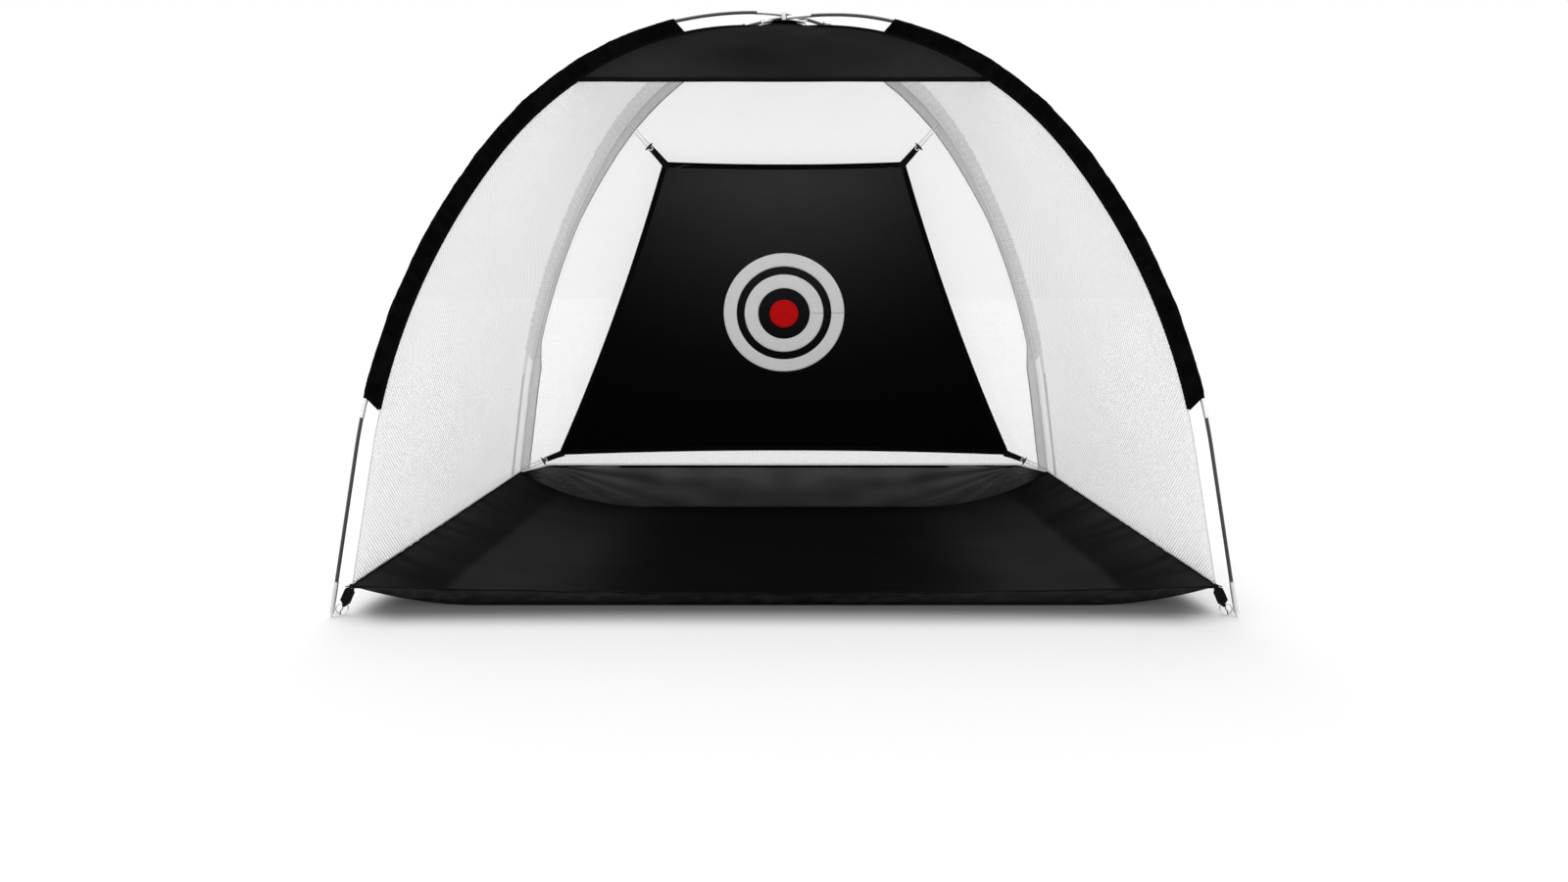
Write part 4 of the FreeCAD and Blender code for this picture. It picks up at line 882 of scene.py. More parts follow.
def finish_piece(piece, slot, body, *nodes):
    """Finish of a slot, the body that a piece rides on, and the nodes that it stands for."""
    piece.data.materials.append(material(slot))
    if body:
        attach(piece, body)
    if nodes:
        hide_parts(*nodes)
    return piece


class PolesOperator(bpy.types.Operator):
    """Give the rods, ferrules, tips and inner cords their finishes"""

    bl_idname = "chipping_net.poles"
    bl_label = "Poles"

    def execute(self, context):
        rods = [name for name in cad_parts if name.startswith("pole_") and "_rod_" in name]
        dress("pole_black", *rods)
        dress("aluminium", "rod_ferrules", "pole_tips")
        dress("elastic", "shock_cords")
        return {"FINISHED"}


class FeetOperator(bpy.types.Operator):
    """Finish the pins and peg rings, and make the webbing tabs, their knots and their cord ends"""

    bl_idname = "chipping_net.feet"
    bl_label = "Feet"

    def execute(self, context):
        for corner in CORNERS:
            dress("steel", corner + "_foot_pin", corner + "_peg_ring")
            self.tab(corner)
            self.knot(corner)
            self.cord_end(corner)
        return {"FINISHED"}

    @staticmethod
    def frame(corner):
        """Where the tab leaves the ring, the way to the tray's corner, and the width there and above."""
        ring, size = box_middle(corner + "_peg_ring")
        end = tray_corner(corner)
        aim = unit(end - ring)
        start = ring + aim * (size[2] / 2 - 0.0030)
        return start, aim, end, HalfPole(corner).normal, unit(np.cross(aim, [0.0, 1.0, 0.0]))

    def tab(self, corner):
        """Webbing folded round the ring, doubled and sewn, and turned flat to the front above it."""
        start, aim, end, at_ring, above = self.frame(corner)
        far = float(np.linalg.norm(end - start)) - 0.004
        fold, sewn, half_gap = 0.0036, 0.009, 0.0016
        turns = np.linspace(-2.3, 2.3, 13)
        path = [(0.86 * far, -0.0013), (0.5 * far, -0.0014), (sewn, -half_gap)]
        path += [(-fold * math.cos(turn), fold * math.sin(turn)) for turn in turns]
        path += [(sewn, half_gap), (0.5 * far, 0.0014), (far, 0.0011)]
        path = smooth_line(path, 80)
        up = path[:, :1]
        turned = held((up + 0.001) / 0.007)
        side = unit(at_ring * (1 - turned) + above * turned)
        line = start + aim * up + unit(np.cross(aim, side)) * path[:, 1:]
        width = np.interp(up, [-0.004, 0.002, 0.006, 0.86 * far, far], [0.0125, 0.015, 0.0225, 0.0225, 0.012])
        strips = Strips().add(tape_rings(line, side, width, 0.0017))
        out = unit(np.cross(aim, above))
        for sign in (-1, 1):
            edge = start + aim * np.linspace(0.012, 0.82 * far, 12)[:, None] + above * sign * 0.0078
            for face in (-1, 1):
                strips.stitches(edge + out * face * 0.0026, np.tile(out * face, (12, 1)), 0.0030)
        piece = strips.piece(corner + "_webbing_tab", "webbing", None, corner + "_tab")
        tuple(start + aim * far)
        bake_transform(piece)

    def knot(self, corner):
        """Cord knot that ties the tab to the tray's corner."""
        aim, end, _, above = self.frame(corner)[1:]
        out = np.cross(aim, above)
        strips = Strips()
        turns = circle(24)
        for shift, size, tip in ((-0.0018, 0.0042, 0.15), (0.0018, 0.0044, -0.2), (0.0002, 0.0038, 1.2)):
            way = aim * math.cos(tip) + above * math.sin(tip)
            other = unit(np.cross(way, out))
            ring = end + aim * shift + (other * np.cos(turns) + out * np.sin(turns)) * size
            strips.add(round_rings(ring, 0.0015, guide=way), closed=True)
        for bend in (-1, 1):
            tail = [end + out * 0.004, end + out * 0.007 + above * 0.004 * bend,
                    end + out * 0.006 + above * 0.010 * bend - aim * 0.004]
            strips.add(round_rings(smooth_line(tail, 12), 0.0013))
        strips.piece(corner + "_corner_knot", "webbing", "shelter")

    def cord_end(self, corner):
        """Thin cord that is tied to the ring and hangs to the ground."""
        start, aim, end, at_ring, _ = self.frame(corner)
        outward = np.array([math.copysign(1.0, end[0]), 0.0, 0.0])
        front = np.array([0.0, math.copysign(1.0, end[1]), 0.0])
        foot = start + outward * 0.004 + front * 0.009
        line = smooth_line([start + aim * 0.003, start + front * 0.006 + aim * 0.001,
                            start + front * 0.009 - [0, 0, 0.008], [*foot[:2], 0.012],
                            [*(foot + outward * 0.002)[:2], 0.0024]], 30)
        strips = Strips().add(round_rings(line, CORD))
        turns = circle(16)
        way = unit(np.cross(aim, at_ring))
        loop = start + at_ring * 0.0085 * math.copysign(1.0, float(at_ring.dot(front)))
        loop = loop + (aim * np.cos(turns) + way * np.sin(turns)) * 0.0028
        strips.add(round_rings(loop, CORD, guide=at_ring), closed=True)
        strips.piece(corner + "_cord_end", "webbing", corner + "_pin")


def tray_foot(corner):
    """The half pole of a corner, and how far along it the tray's corner is."""
    tray, half = settings("net_tray"), HalfPole(corner)
    height = tray.front_corner if corner.startswith("front") else tray.rear_corner
    return half, half.along_at(height, settings("net_frame").seam_offset)


def tray_corner(corner):
    """Tray corner beside the pole's leg."""
    half, along = tray_foot(corner)
    return half.point(along, settings("net_frame").seam_offset)


def wall_top(x):
    """Height of the rear wall's upper edge."""
    tray, corner = settings("net_tray"), tray_corner("rear_right")
    level = tray.rear_hem_height
    return np.interp(np.abs(x), [0.0, tray.rear_hem_length / 2, corner[0]], [level, level, corner[2]])


class SleevesOperator(bpy.types.Operator):
    """Make the cloth sleeves round the poles: smooth black in front, pale and twisted behind"""

    bl_idname = "chipping_net.sleeves"
    bl_label = "Sleeves"

    def execute(self, context):
        sizes, sleeve = settings("net_frame"), settings("net_sleeves")
        for side in ("left", "right"):
            for corner, foot, stop, short, fold in (
                    ("front_" + side, sleeve.front_foot, sizes.crossing_reach, 0.0, sleeve.front_fold),
                    ("rear_" + side, sleeve.rear_foot, sleeve.rear_stop, sizes.crossing_lift,
                     sleeve.rear_fold)):
                half = lifted(corner)
                self.sleeve(corner, half, half.along_at(foot), half.length - stop,
                            sizes.seam_offset - SEAM_GAP - short, fold)
            self.facing(side)
        return {"FINISHED"}

    def sleeve(self, corner, half, start, end, tail, fold):
        sizes, sleeve = settings("net_frame"), settings("net_sleeves")
        twisted = corner.startswith("rear")
        radius = sizes.ferrule_radius + sleeve.room
        share = ramp(int((end - start) / (0.004 if twisted else 0.009)))
        turn = circle(36).T
        # A drop: round over the pole, drawn out flat to the seam
        flat, mean_radius, deepest = 0.0011, 0.012, -0.0004
        inward = radius * np.cos(turn) * (1 + (tail / radius - 1) * held(np.cos(turn)) ** 0.9)
        to_seam = inward / tail
        across = np.sin(turn) * (flat + (radius - flat) * held(1 - to_seam) ** 1.25)
        slant = sleeve.slant * (1 - held(to_seam))
        along = start + slant + (end - start - 2 * slant) * share
        if twisted:
            phase = along / sleeve.fold_pitch + turn / TURN
            lines = ridge(np.sin(phase * TURN + ripple(along, turn * 0.01, 0.16, 5) * 0.9))
            lines = lines + 0.5 * ridge(np.sin(along / sleeve.fold_pitch * TURN * 1.7 - turn))
            folds = 0.9 * lines + 0.3 * ripple(along, turn * 0.02, 0.05, 8)
            # Painted highlights along the twisted folds' ridges, and lighter towards the sleeve's foot.
            pale = 0.06 + 0.22 * (1 - share) + 0.9 * held(lines) ** 3
        else:
            lines = ridge(ripple(along, turn * 0.006, 0.05, 11))
            folds = 0.55 * ripple(along, turn * 0.012, 0.12, 3) + 0.5 * lines
            # Painted highlights along the folds' ridges.
            pale = 0.12 + 0.3 * lines
        body = held(1 - to_seam) ** 0.5
        swell = np.maximum(fold * folds * (0.25 + 0.75 * body) * np.sin(turn / 2) ** 0.5, deepest)
        points = (half.point(along) + half.inward(along) * (inward + np.cos(turn) * swell)[..., None]
                  + half.normal * (across + np.sin(turn) * swell)[..., None])
        cloth = np.stack([turn * mean_radius * np.ones_like(along), along], axis=2)
        piece = sheet_piece(corner + "_sleeve_cloth", points, sleeve.cloth, True, cloth, -1.0, pale)
        finish_piece(piece, "sleeve_pale" if twisted else "sleeve_black", "shelter", corner + "_sleeve")

    @staticmethod
    def facing(side):
        """Flat strip of the sleeve's cloth on the rear net, and the dark thread that sews it down."""
        sleeve = settings("net_sleeves")
        panel = NetsOperator.panel(("rear_left", "rear_right"), (0, 1, 0.2))
        sign = -1 if side == "left" else 1
        share = np.linspace(0, 1, 12)[None, :]
        along = np.linspace(0.010, panel.length - 0.004, 460)[:, None]
        seam = panel.place(along, sign * panel.width_at(along) / 2)[..., 2]
        # Wide below the sleeve's foot and near the crossing, narrow between them
        foot = sleeve.rear_foot
        heights = [foot - 0.30, foot - 0.03, foot + 0.05, foot + 0.42, foot + 0.68, foot + 0.83]
        wide = np.interp(seam, heights, [0.029, 0.028, 0.013, 0.015, 0.035, 0.046])
        along = along * np.ones_like(share)
        across = sign * (panel.width_at(along) / 2 - wide * share)
        folds = ridge(ripple(along * 0.5, across * 2.0, 0.06, 13)) * share
        lift = 0.0026 + 0.0020 * folds + 0.0009 * share * ripple(along, across, 0.09, 14)
        points = panel.place(along, across) - panel.normal(along, across) * lift[..., None]
        # Painted shade in a band along the stitched edge, painted highlights on the folds, and lighter below
        # the sleeve's foot.
        sewn = np.exp(-((share - 0.97) / 0.05) ** 2)
        pale = 0.84 + 0.16 * folds + 0.1 * (seam < foot) - 0.5 * sewn
        name = "rear_%s_facing" % side
        piece = sheet_piece(name, points, 0.0006, pale=pale)
        finish_piece(piece, "sleeve_pale", "shelter")
        strips = Strips()
        inside = -panel.normal(along[:, -2], across[:, -2])
        strips.stitches(points[:, -2] + inside * 0.0008, inside, 0.0085, 0.62, 0.0007)
        strips.piece(name + "_thread", "binding_black", "shelter")


class NetsOperator(bpy.types.Operator):
    """Make the fine mesh of the sides and the back, thread by thread, with its hems"""

    bl_idname = "chipping_net.nets"
    bl_label = "Nets"

    def execute(self, context):
        for side, sign in (("left", -1), ("right", 1)):
            panel = self.panel(("front_" + side, "rear_" + side), (sign, 0, 0.2))
            self.net(side + "_net", panel, False, "front_%s_sleeve_cloth" % side)
        panel = self.panel(("rear_left", "rear_right"), (0, 1, 0.2))
        self.net("rear_net", panel, True, "rear_left_sleeve_cloth")
        return {"FINISHED"}

    @staticmethod
    def panel(corners, outward):
        above_tray = 0.0035
        feet = [tray_foot(corner) for corner in corners]
        ends = [half.length - settings("net_frame").crown_gap for half, _ in feet]
        return Panel(corners, [along + above_tray for _, along in feet], ends, outward)

    @staticmethod
    def over_hem(panel, along, across, room=0.0):
        """Whether places on the rear net are above the rear wall."""
        gap = 0.002
        place = panel.place(along, across)
        return place[..., 2] > wall_top(place[..., 0]) + gap + room

    def net(self, node, panel, cut, under):
        """The mesh of a node. Where cut is true, it stops above the rear wall."""
        mesh = settings("net_mesh")
        strips = Strips()
        step = mesh.pitch * math.sqrt(2)
        fine = np.arange(0.0, panel.length, 0.003)
        edge = panel.width_at(fine) / 2 - mesh.hem / 2
        level = (fine > mesh.hem / 2) & (fine < panel.length - mesh.hem / 2)
        reach = int((panel.width[0] / 2 + panel.length) / step) + 2
        for lean in (1, -1):
            for number in range(-reach, reach + 1):
                across = number * step + lean * (fine - panel.length / 2)
                inside = (np.abs(across) < edge) & level
                if cut:
                    inside = inside & self.over_hem(panel, fine, across, mesh.hem * 0.6)
                for ends in self.runs(inside):
                    self.thread(strips, panel, fine[ends], across[ends], 0.3 * mesh.thread * lean)
        self.hems(strips, panel, cut)
        piece = strips.piece(node + "_mesh", "net_white", "shelter", node)
        behind_wall = 0.022
        area = panel.area() - (float(panel.width[0]) * behind_wall if cut else 0.0)

    @staticmethod
    def runs(inside):
        """Stretches where a thread is on the cloth."""
        marks = np.flatnonzero(np.diff(np.concatenate([[0], inside.astype(int), [0]])))
        return [[first, last - 1] for first, last in zip(marks[::2], marks[1::2]) if last - first > 2]

    @staticmethod
    def thread(strips, panel, alongs, acrosses, level):
        mesh = settings("net_mesh")
        parts = max(2, int((alongs[1] - alongs[0]) * math.sqrt(2) / mesh.step) + 1)
        along, across = np.linspace(*alongs, parts), np.linspace(*acrosses, parts)
        place, normal, side = panel.tape(along, across, level)
        side, up = side * mesh.thread / 2, normal * mesh.thread / 2
        high, low = place + up, place - up
        strips.add(np.stack([high + side, high - side, low - side, low + side], axis=1))

    def hems(self, strips, panel, cut):
        """Folded tape along the seams, the foot and the top."""
        mesh = settings("net_mesh")
        along = np.linspace(0, panel.length, 90)
        for sign in (-1, 1):
            at = along
            if cut:
                at = along[self.over_hem(panel, along, sign * (panel.width_at(along) / 2 - mesh.hem / 2))]
            side = sign * (panel.width_at(at) / 2 - mesh.hem / 2)
            self.tape(strips, panel, at, side)
        share = np.linspace(-0.5, 0.5, 70)
        for at_end in (False, True):
            if cut and not at_end:
                across = share * (panel.width[0] - 0.004)
                at = self.lift_to_hem(panel, across) + mesh.hem / 2
            else:
                at = np.full(share.shape, panel.length - mesh.hem / 2 if at_end else mesh.hem / 2)
                across = share * panel.width_at(at)
            self.tape(strips, panel, at, across)

    def lift_to_hem(self, panel, across):
        """How far up the rear panel its lower edge is."""
        tries = np.linspace(0, 0.08, 161)
        return np.array([tries[int(np.argmax(self.over_hem(panel, tries, np.full(tries.shape, place))))]
                         for place in across])

    @staticmethod
    def tape(strips, panel, along, across):
        mesh = settings("net_mesh")
        line, normal, side = panel.tape(along, across)
        strips.add(flat_rings(line, side, normal, mesh.hem, mesh.hem_thickness))


class CanopyOperator(bpy.types.Operator):
    """Make the black roof between the front poles, its hem, and the tied patch at the crossing"""

    bl_idname = "chipping_net.canopy"
    bl_label = "Canopy"

    def execute(self, context):
        sizes, canopy = settings("net_frame"), settings("net_canopy")
        half = HalfPole("front_left")
        hem = half.along_at(canopy.hem_height, sizes.seam_offset)
        end = half.length - sizes.crown_gap
        panel = Panel(("front_left", "front_right"), (hem, hem), (end, end), (0, -1, 0.5))
        rows, columns = 56, 120
        share = ramp(rows) * np.ones((1, columns))
        along = canopy.band / 2 + (panel.length - canopy.band / 2) * share
        across = np.linspace(-0.5, 0.5, columns) * panel.width_at(along)
        points = panel.place(along, across)
        points = points + panel.normal(along, across) * self.slack(panel, along, across)[..., None]
        last = held(1 - (panel.length - along) / 0.12) ** 1.5
        points[..., 2] += self.crest(points[..., 0]) * last
        # Painted light: the roof is lighter towards its hem and towards the sleeves.
        pale = 0.03 + 0.55 * (1 - along / panel.length) ** 2 + 0.7 * (np.abs(across) / 0.325) ** 2.3
        pale = held(pale) + 0.06 * ripple(across, along, 0.2, 23)
        piece = sheet_piece("canopy_roof", points, canopy.cloth, pale=pale)
        finish_piece(piece, "canopy_cloth", "shelter", "canopy")
        self.hem(panel)
        self.crown()
        for side in ("left", "right"):
            self.seam_tape(side)
        return {"FINISHED"}

    @staticmethod
    def crest(x):
        """How far the roof and the patch stand up in the middle, where they hang from the crossing."""
        return 0.014 * held(1 - (x / 0.1) ** 2) ** 2

    @staticmethod
    def slack(panel, along, across):
        """Height of the cloth over its tight surface: sags in the middle, with faint pulls."""
        canopy = settings("net_canopy")
        edge = held(1 - (2 * np.abs(across) / panel.width_at(along)) ** 2)
        ends = held(along / 0.05) * held((panel.length - along) / 0.05)
        pulls = 0.0014 * ripple(across, along * 3.0, 0.30, 21) + 0.0009 * ripple(across, along, 0.11, 22)
        return (-canopy.slack * edge * ends ** 0.5) * 0.6 + pulls * edge ** 0.5

    @staticmethod
    def seam_tape(side):
        """Black tape that covers the seam between a front sleeve, the canopy and the side net."""
        sizes = settings("net_frame")
        half = HalfPole("front_" + side)
        along = np.linspace(half.along_at(settings("net_sleeves").front_foot) + 0.004, half.length - 0.060, 160)
        line = half.point(along, sizes.seam_offset - 0.0012)
        strips = Strips().add(flat_rings(line, half.inward(along), half.normal, 0.0088, 0.0058))
        strips.piece("front_%s_seam_tape" % side, "binding_black", "shelter")

    def hem(self, panel):
        """Folded band along the lower edge."""
        canopy = settings("net_canopy")
        along = np.full(90, canopy.band / 2)
        across = np.linspace(-0.5, 0.5, 90) * panel.width_at(along)
        line, normal, side = panel.tape(along, across, self.slack(panel, along, across) * 0.4)
        strips = Strips().add(flat_rings(line, side, normal, canopy.band, 0.0026))
        for sign in (-1, 1):
            strips.stitches(line + side * sign * canopy.band * 0.34 + normal * 0.0014, normal)
        strips.piece("canopy_hem_band", "binding_black", "shelter", "canopy_hem")

    def crown(self):
        """Patch under the crossing, its corners drawn down, and the tape that ties the poles."""
        canopy = settings("net_canopy")
        middle = box_middle("crown_patch")[0]
        u, v = np.meshgrid(np.linspace(-1, 1, 35), np.linspace(-1, 1, 25))
        round_off = 1 - 0.09 * (np.abs(u) ** 6 * np.abs(v) ** 6)
        x = u * round_off * canopy.crown_length / 2
        y = v * round_off * canopy.crown_width / 2
        z = 0.0007 * ripple(x, y, 0.05, 31) * (1 - 0.3 * np.abs(u))
        z = z + self.crest(x) * held(1.4 - v) * held((1 - v) * 3)
        points = np.stack([middle[0] + x, middle[1] + y, middle[2] + z], axis=2)
        piece = sheet_piece("crown_cloth", points, 0.0012)
        finish_piece(piece, "canopy_cloth", "shelter", "crown_patch")
        middle, size = box_middle("crown_tie")
        turns = circle(40)[:, 0]
        half_tape = 0.0006
        wide, tall = size[1] / 2 - half_tape, size[2] / 2 - half_tape
        pull = 1 - 0.02 * np.sin(turns * 3)
        loop = np.stack([middle[0] + 0.0006 * np.sin(turns * 2), middle[1] + wide * pull * np.cos(turns),
                         middle[2] + tall * pull * np.sin(turns)], axis=1)
        strips = Strips().add(tape_rings(loop, ACROSS, 0.0105, 0.0011, True), closed=True)
        self.arms(strips, middle[2] - size[2] / 2)
        strips.piece("crown_tape", "tie_white", "shelter", "crown_tie")

    def arms(self, strips, floor):
        """Four ends of the tape, which fan out over the patch. The front ones turn their face to the front."""
        samples = 26
        for corner in CORNERS:
            half = lifted(corner)
            out = np.array([0.004, 0.022, 0.044, 0.064])
            controls = half.point(half.length)[None] + half.plan * -out[:, None]
            controls[:, 2] = floor + self.crest(controls[:, 0]) + np.array([0.0012, 0.0034, 0.0026, 0.0012])
            line = smooth_line(controls, samples)
            spread = ramp(samples)
            line = line + 0.0010 * np.sin(spread * 9) * half.normal
            drop = math.radians(55) * spread * corner.startswith("front")
            side = half.normal * (-1 if half.normal[1] > 0 else 1) * np.cos(drop) - UP * np.sin(drop)
            strips.add(tape_rings(line, side, 0.008 + 0.014 * spread, 0.0012))


class TrayOperator(bpy.types.Operator):
    """Make the cloth tray: floor and rising sides in one sheet, front lip, rear wall and bound edges"""

    bl_idname = "chipping_net.tray"
    bl_label = "Tray"

    RISING, LEVEL = 34, 60

    def execute(self, context):
        self.floor()
        self.lip()
        self.wall()
        for side in ("left", "right"):
            self.piping(side)
        return {"FINISHED"}

    def edges(self):
        """Front and rear lines of the floor and its rising sides, from left to right."""
        sizes, tray = settings("net_frame"), settings("net_tray")
        found = []
        for corner, flat, y in (("front_right", tray.front_flat / 2, -sizes.feet_depth / 2 + tray.lip_setback),
                                ("rear_right", tray.rear_flat / 2, None)):
            top = tray_corner(corner)
            ground = np.array([0.0, top[1] if y is None else y, 0.0])
            up, climb = self.rise(top, ground)
            reach = top[0] - flat
            radius = (reach ** 2 + climb ** 2) / (2 * climb)
            angles = np.linspace(0, math.asin(reach / radius), self.RISING)
            x = flat + radius * np.sin(angles)
            rise = radius * (1 - np.cos(angles))
            level = np.linspace(-flat, flat, self.LEVEL)[1:-1]
            x_all = np.concatenate([-x[::-1], level, x])
            rise_all = np.concatenate([rise[::-1], np.zeros(len(level)), rise])
            found.append(ground + x_all[:, None] * ACROSS + rise_all[:, None] * up)
        return found

    @staticmethod
    def rise(corner, ground):
        """Direction and length of the slope from a line on the ground up to the height of a corner."""
        slope = np.array([0.0, corner[1], corner[2]]) - ground
        return unit(slope), float(np.linalg.norm(slope))

    def floor(self):
        """Floor and rising sides, with soft folds that hang from the side edges."""
        tray = settings("net_tray")
        front, back = self.edges()
        share = ramp(190)
        points = front[None] + (back - front)[None] * share[..., None]
        x, y = points[..., 0], points[..., 1]
        column = np.arange(len(front))[None, :]
        up = held(1 - np.minimum(column, len(front) - 1 - column) / (self.RISING - 1))
        span = float(y[-1, 0] - y[0, 0])
        fold = creases(share * span, up, span, 15, 41)
        valley = -np.exp(-((up - 0.52) / 0.13) ** 2)
        ends = held(share * 22) * held((1 - share) * 22)
        lift = ends * held((1 - up) * 9) * (tray.crease * (fold + 0.6 * valley) * held(up * 3)
                                                     + 0.0010 * ripple(x, y, 0.33, 42))
        points = points + UP * (np.maximum(lift, -0.4 * points[..., 2]) + tray.cloth / 2)[..., None]
        # Painted light and shade: dark in the middle and at the back, a dark line where the sides rise, the
        # rising sides lighter, and the folds lighter or darker with their relief.
        reach = np.abs(x) / np.abs(x[:, -1:]) + 0.05 * np.exp(-share / 0.06)
        inside = 0.182 / (1 + np.exp((0.53 - reach) / 0.055))
        outside = 0.06 + 0.17 * held((reach - 0.86) / 0.14) ** 2
        pale = inside + (outside - inside) * held((reach - 0.84) / 0.018)
        pale = pale * (1 - 0.6 * held((share - 0.5) / 0.45) ** 1.3) + 0.012 * share
        pale = pale * (1 + 0.7 * fold * up * ends * (0.25 + 0.75 * (reach > 0.85)))
        pale = pale + 0.012 * ripple(x, y, 0.2, 43) * reach
        piece = sheet_piece("tray_cloth", points, tray.cloth, pale=pale)
        finish_piece(piece, "tray_cloth", "shelter", "tray_floor", "tray_left_wing", "tray_right_wing")

    @staticmethod
    def piping(side):
        """Bound edge of a rising side, under the net: a thin cord of cloth with small bumps."""
        one, two = tray_corner("front_" + side), tray_corner("rear_" + side)
        share = np.linspace(0, 1, 280)
        run = share * float(np.linalg.norm(two - one))
        bump = ripple(run, 0.0, 0.035, 45)
        line = one + (two - one) * share[:, None] + UP * (0.0014 + 0.0007 * bump)[:, None]
        strips = Strips().add(round_rings(line, 0.0019 * (1 + 0.22 * bump)))
        strips.piece(side + "_tray_piping", "binding_black", "shelter")

    def lip(self):
        """Front wall: from the fold on the ground up to the hanging hem."""
        tray = settings("net_tray")
        front = self.edges()[0]
        corner = front[-1]
        ground = np.array([0.0, front[len(front) // 2][1], 0.0])
        up, top_height = self.rise(corner, ground)
        out = np.cross(ACROSS, up)
        x = front[:, 0]
        top = (top_height - tray.lip_sag) + tray.lip_sag * (x / corner[0]) ** 2
        low = (front - ground).dot(up)
        share = ramp(12)
        height = low + np.maximum(top - low, 0.0005) * share
        belly = 0.004 * np.sin(share * math.pi) * held((top - low) / 0.05)
        pulls = 0.0016 * ripple(x, height * 3.0, 0.22, 51) * share
        crease = 0.0022
        crumple = crease * ridge(ripple(x, height * 1.2, 0.07, 52)) * share * (1 - share) * 4
        off = belly + (pulls + crumple) * held((corner[0] - np.abs(x)) / 0.1)
        points = (ground + x[:, None] * ACROSS + height[..., None] * up + off[..., None] * out
                  + UP * 0.0008)
        # Painted light and shade: lighter towards the sides and the hem, darker at the foot, the crumples
        # lighter.
        wide = np.abs(x) / corner[0]
        pale = (0.07 + 0.10 * held((wide - 0.2) / 0.25)) * (0.35 + 0.65 * share)
        piece = sheet_piece("tray_lip", points, tray.cloth, pale=pale + 0.12 * crumple / crease)
        finish_piece(piece, "tray_cloth", "shelter", "tray_front_lip")
        area = float(np.trapz(top - low, x))
        float(2 * corner[0])
        self.band("tray_front_band", points[-1] - up * tray.band / 2, up, out, "tray_front_hem")

    @staticmethod
    def band(name, line, up, out, node):
        """Bound edge, sewn on both faces."""
        width = settings("net_tray").band
        strips = Strips().add(flat_rings(line, up, out, width, 0.0028))
        for face in (-1, 1):
            seam = line - up * width * 0.28 + out * face * TAPE_FACE
            strips.stitches(seam, np.tile(out * face, (len(line), 1)))
        strips.piece(name, "binding_black", "shelter", node)

    def wall(self):
        """Rear wall: upright, creased where its corners pull."""
        tray = settings("net_tray")
        back = self.edges()[1]
        corner = back[-1]
        x, low = back[:, 0], back[:, 2]
        level = tray.rear_hem_height
        top = wall_top(x)
        share = ramp(40)
        height = low + np.maximum(top - low, 0.0005) * share
        wide = np.abs(x) * np.ones_like(share)
        end = tray.rear_hem_length / 2
        away = np.hypot(end - wide, level - height)
        turn = np.arctan2(level - height, end - wide)
        rays = ridge(np.sin(turn * 9 + 1.6 * ripple(wide, height, 0.3, 61)))
        fade = np.exp(-away / 0.45) * held(away / 0.04)
        waves = ripple(wide, height * 2, 0.16, 62)
        off = (0.009 * rays * fade + 0.0022 * waves) * np.sin(share * math.pi) ** 0.5
        points = np.stack([x * np.ones_like(share), corner[1] - 0.0002 - off, height + 0.0008], axis=2)
        # Painted light and shade: the middle lit, the corners dark, lighter towards the top, and light and dark
        # streaks along the creases.
        painted_streaks = np.cos((turn - 0.05) * 33) * np.exp(-turn / 0.5)
        pale = 0.65 * np.clip((0.84 - wide) / 0.05, 0.15, 1) * (0.5 + 0.5 * height / level)
        pale = pale * (1 + 0.75 * painted_streaks * fade + 0.12 * waves) + 0.1 * (rays - 0.35) * fade
        piece = sheet_piece("tray_rear_cloth", points, tray.cloth, pale=pale)
        finish_piece(piece, "tray_cloth", "shelter", "tray_rear_wall")
        area = float(np.trapz(top - low, x))
        float(2 * corner[0])
        line = points[-1] - UP * 0.0045
        keep = np.abs(line[:, 0]) <= end + 0.02
        self.band("tray_rear_band", line[keep], UP, np.array([0.0, -1.0, 0.0]), "tray_rear_hem")


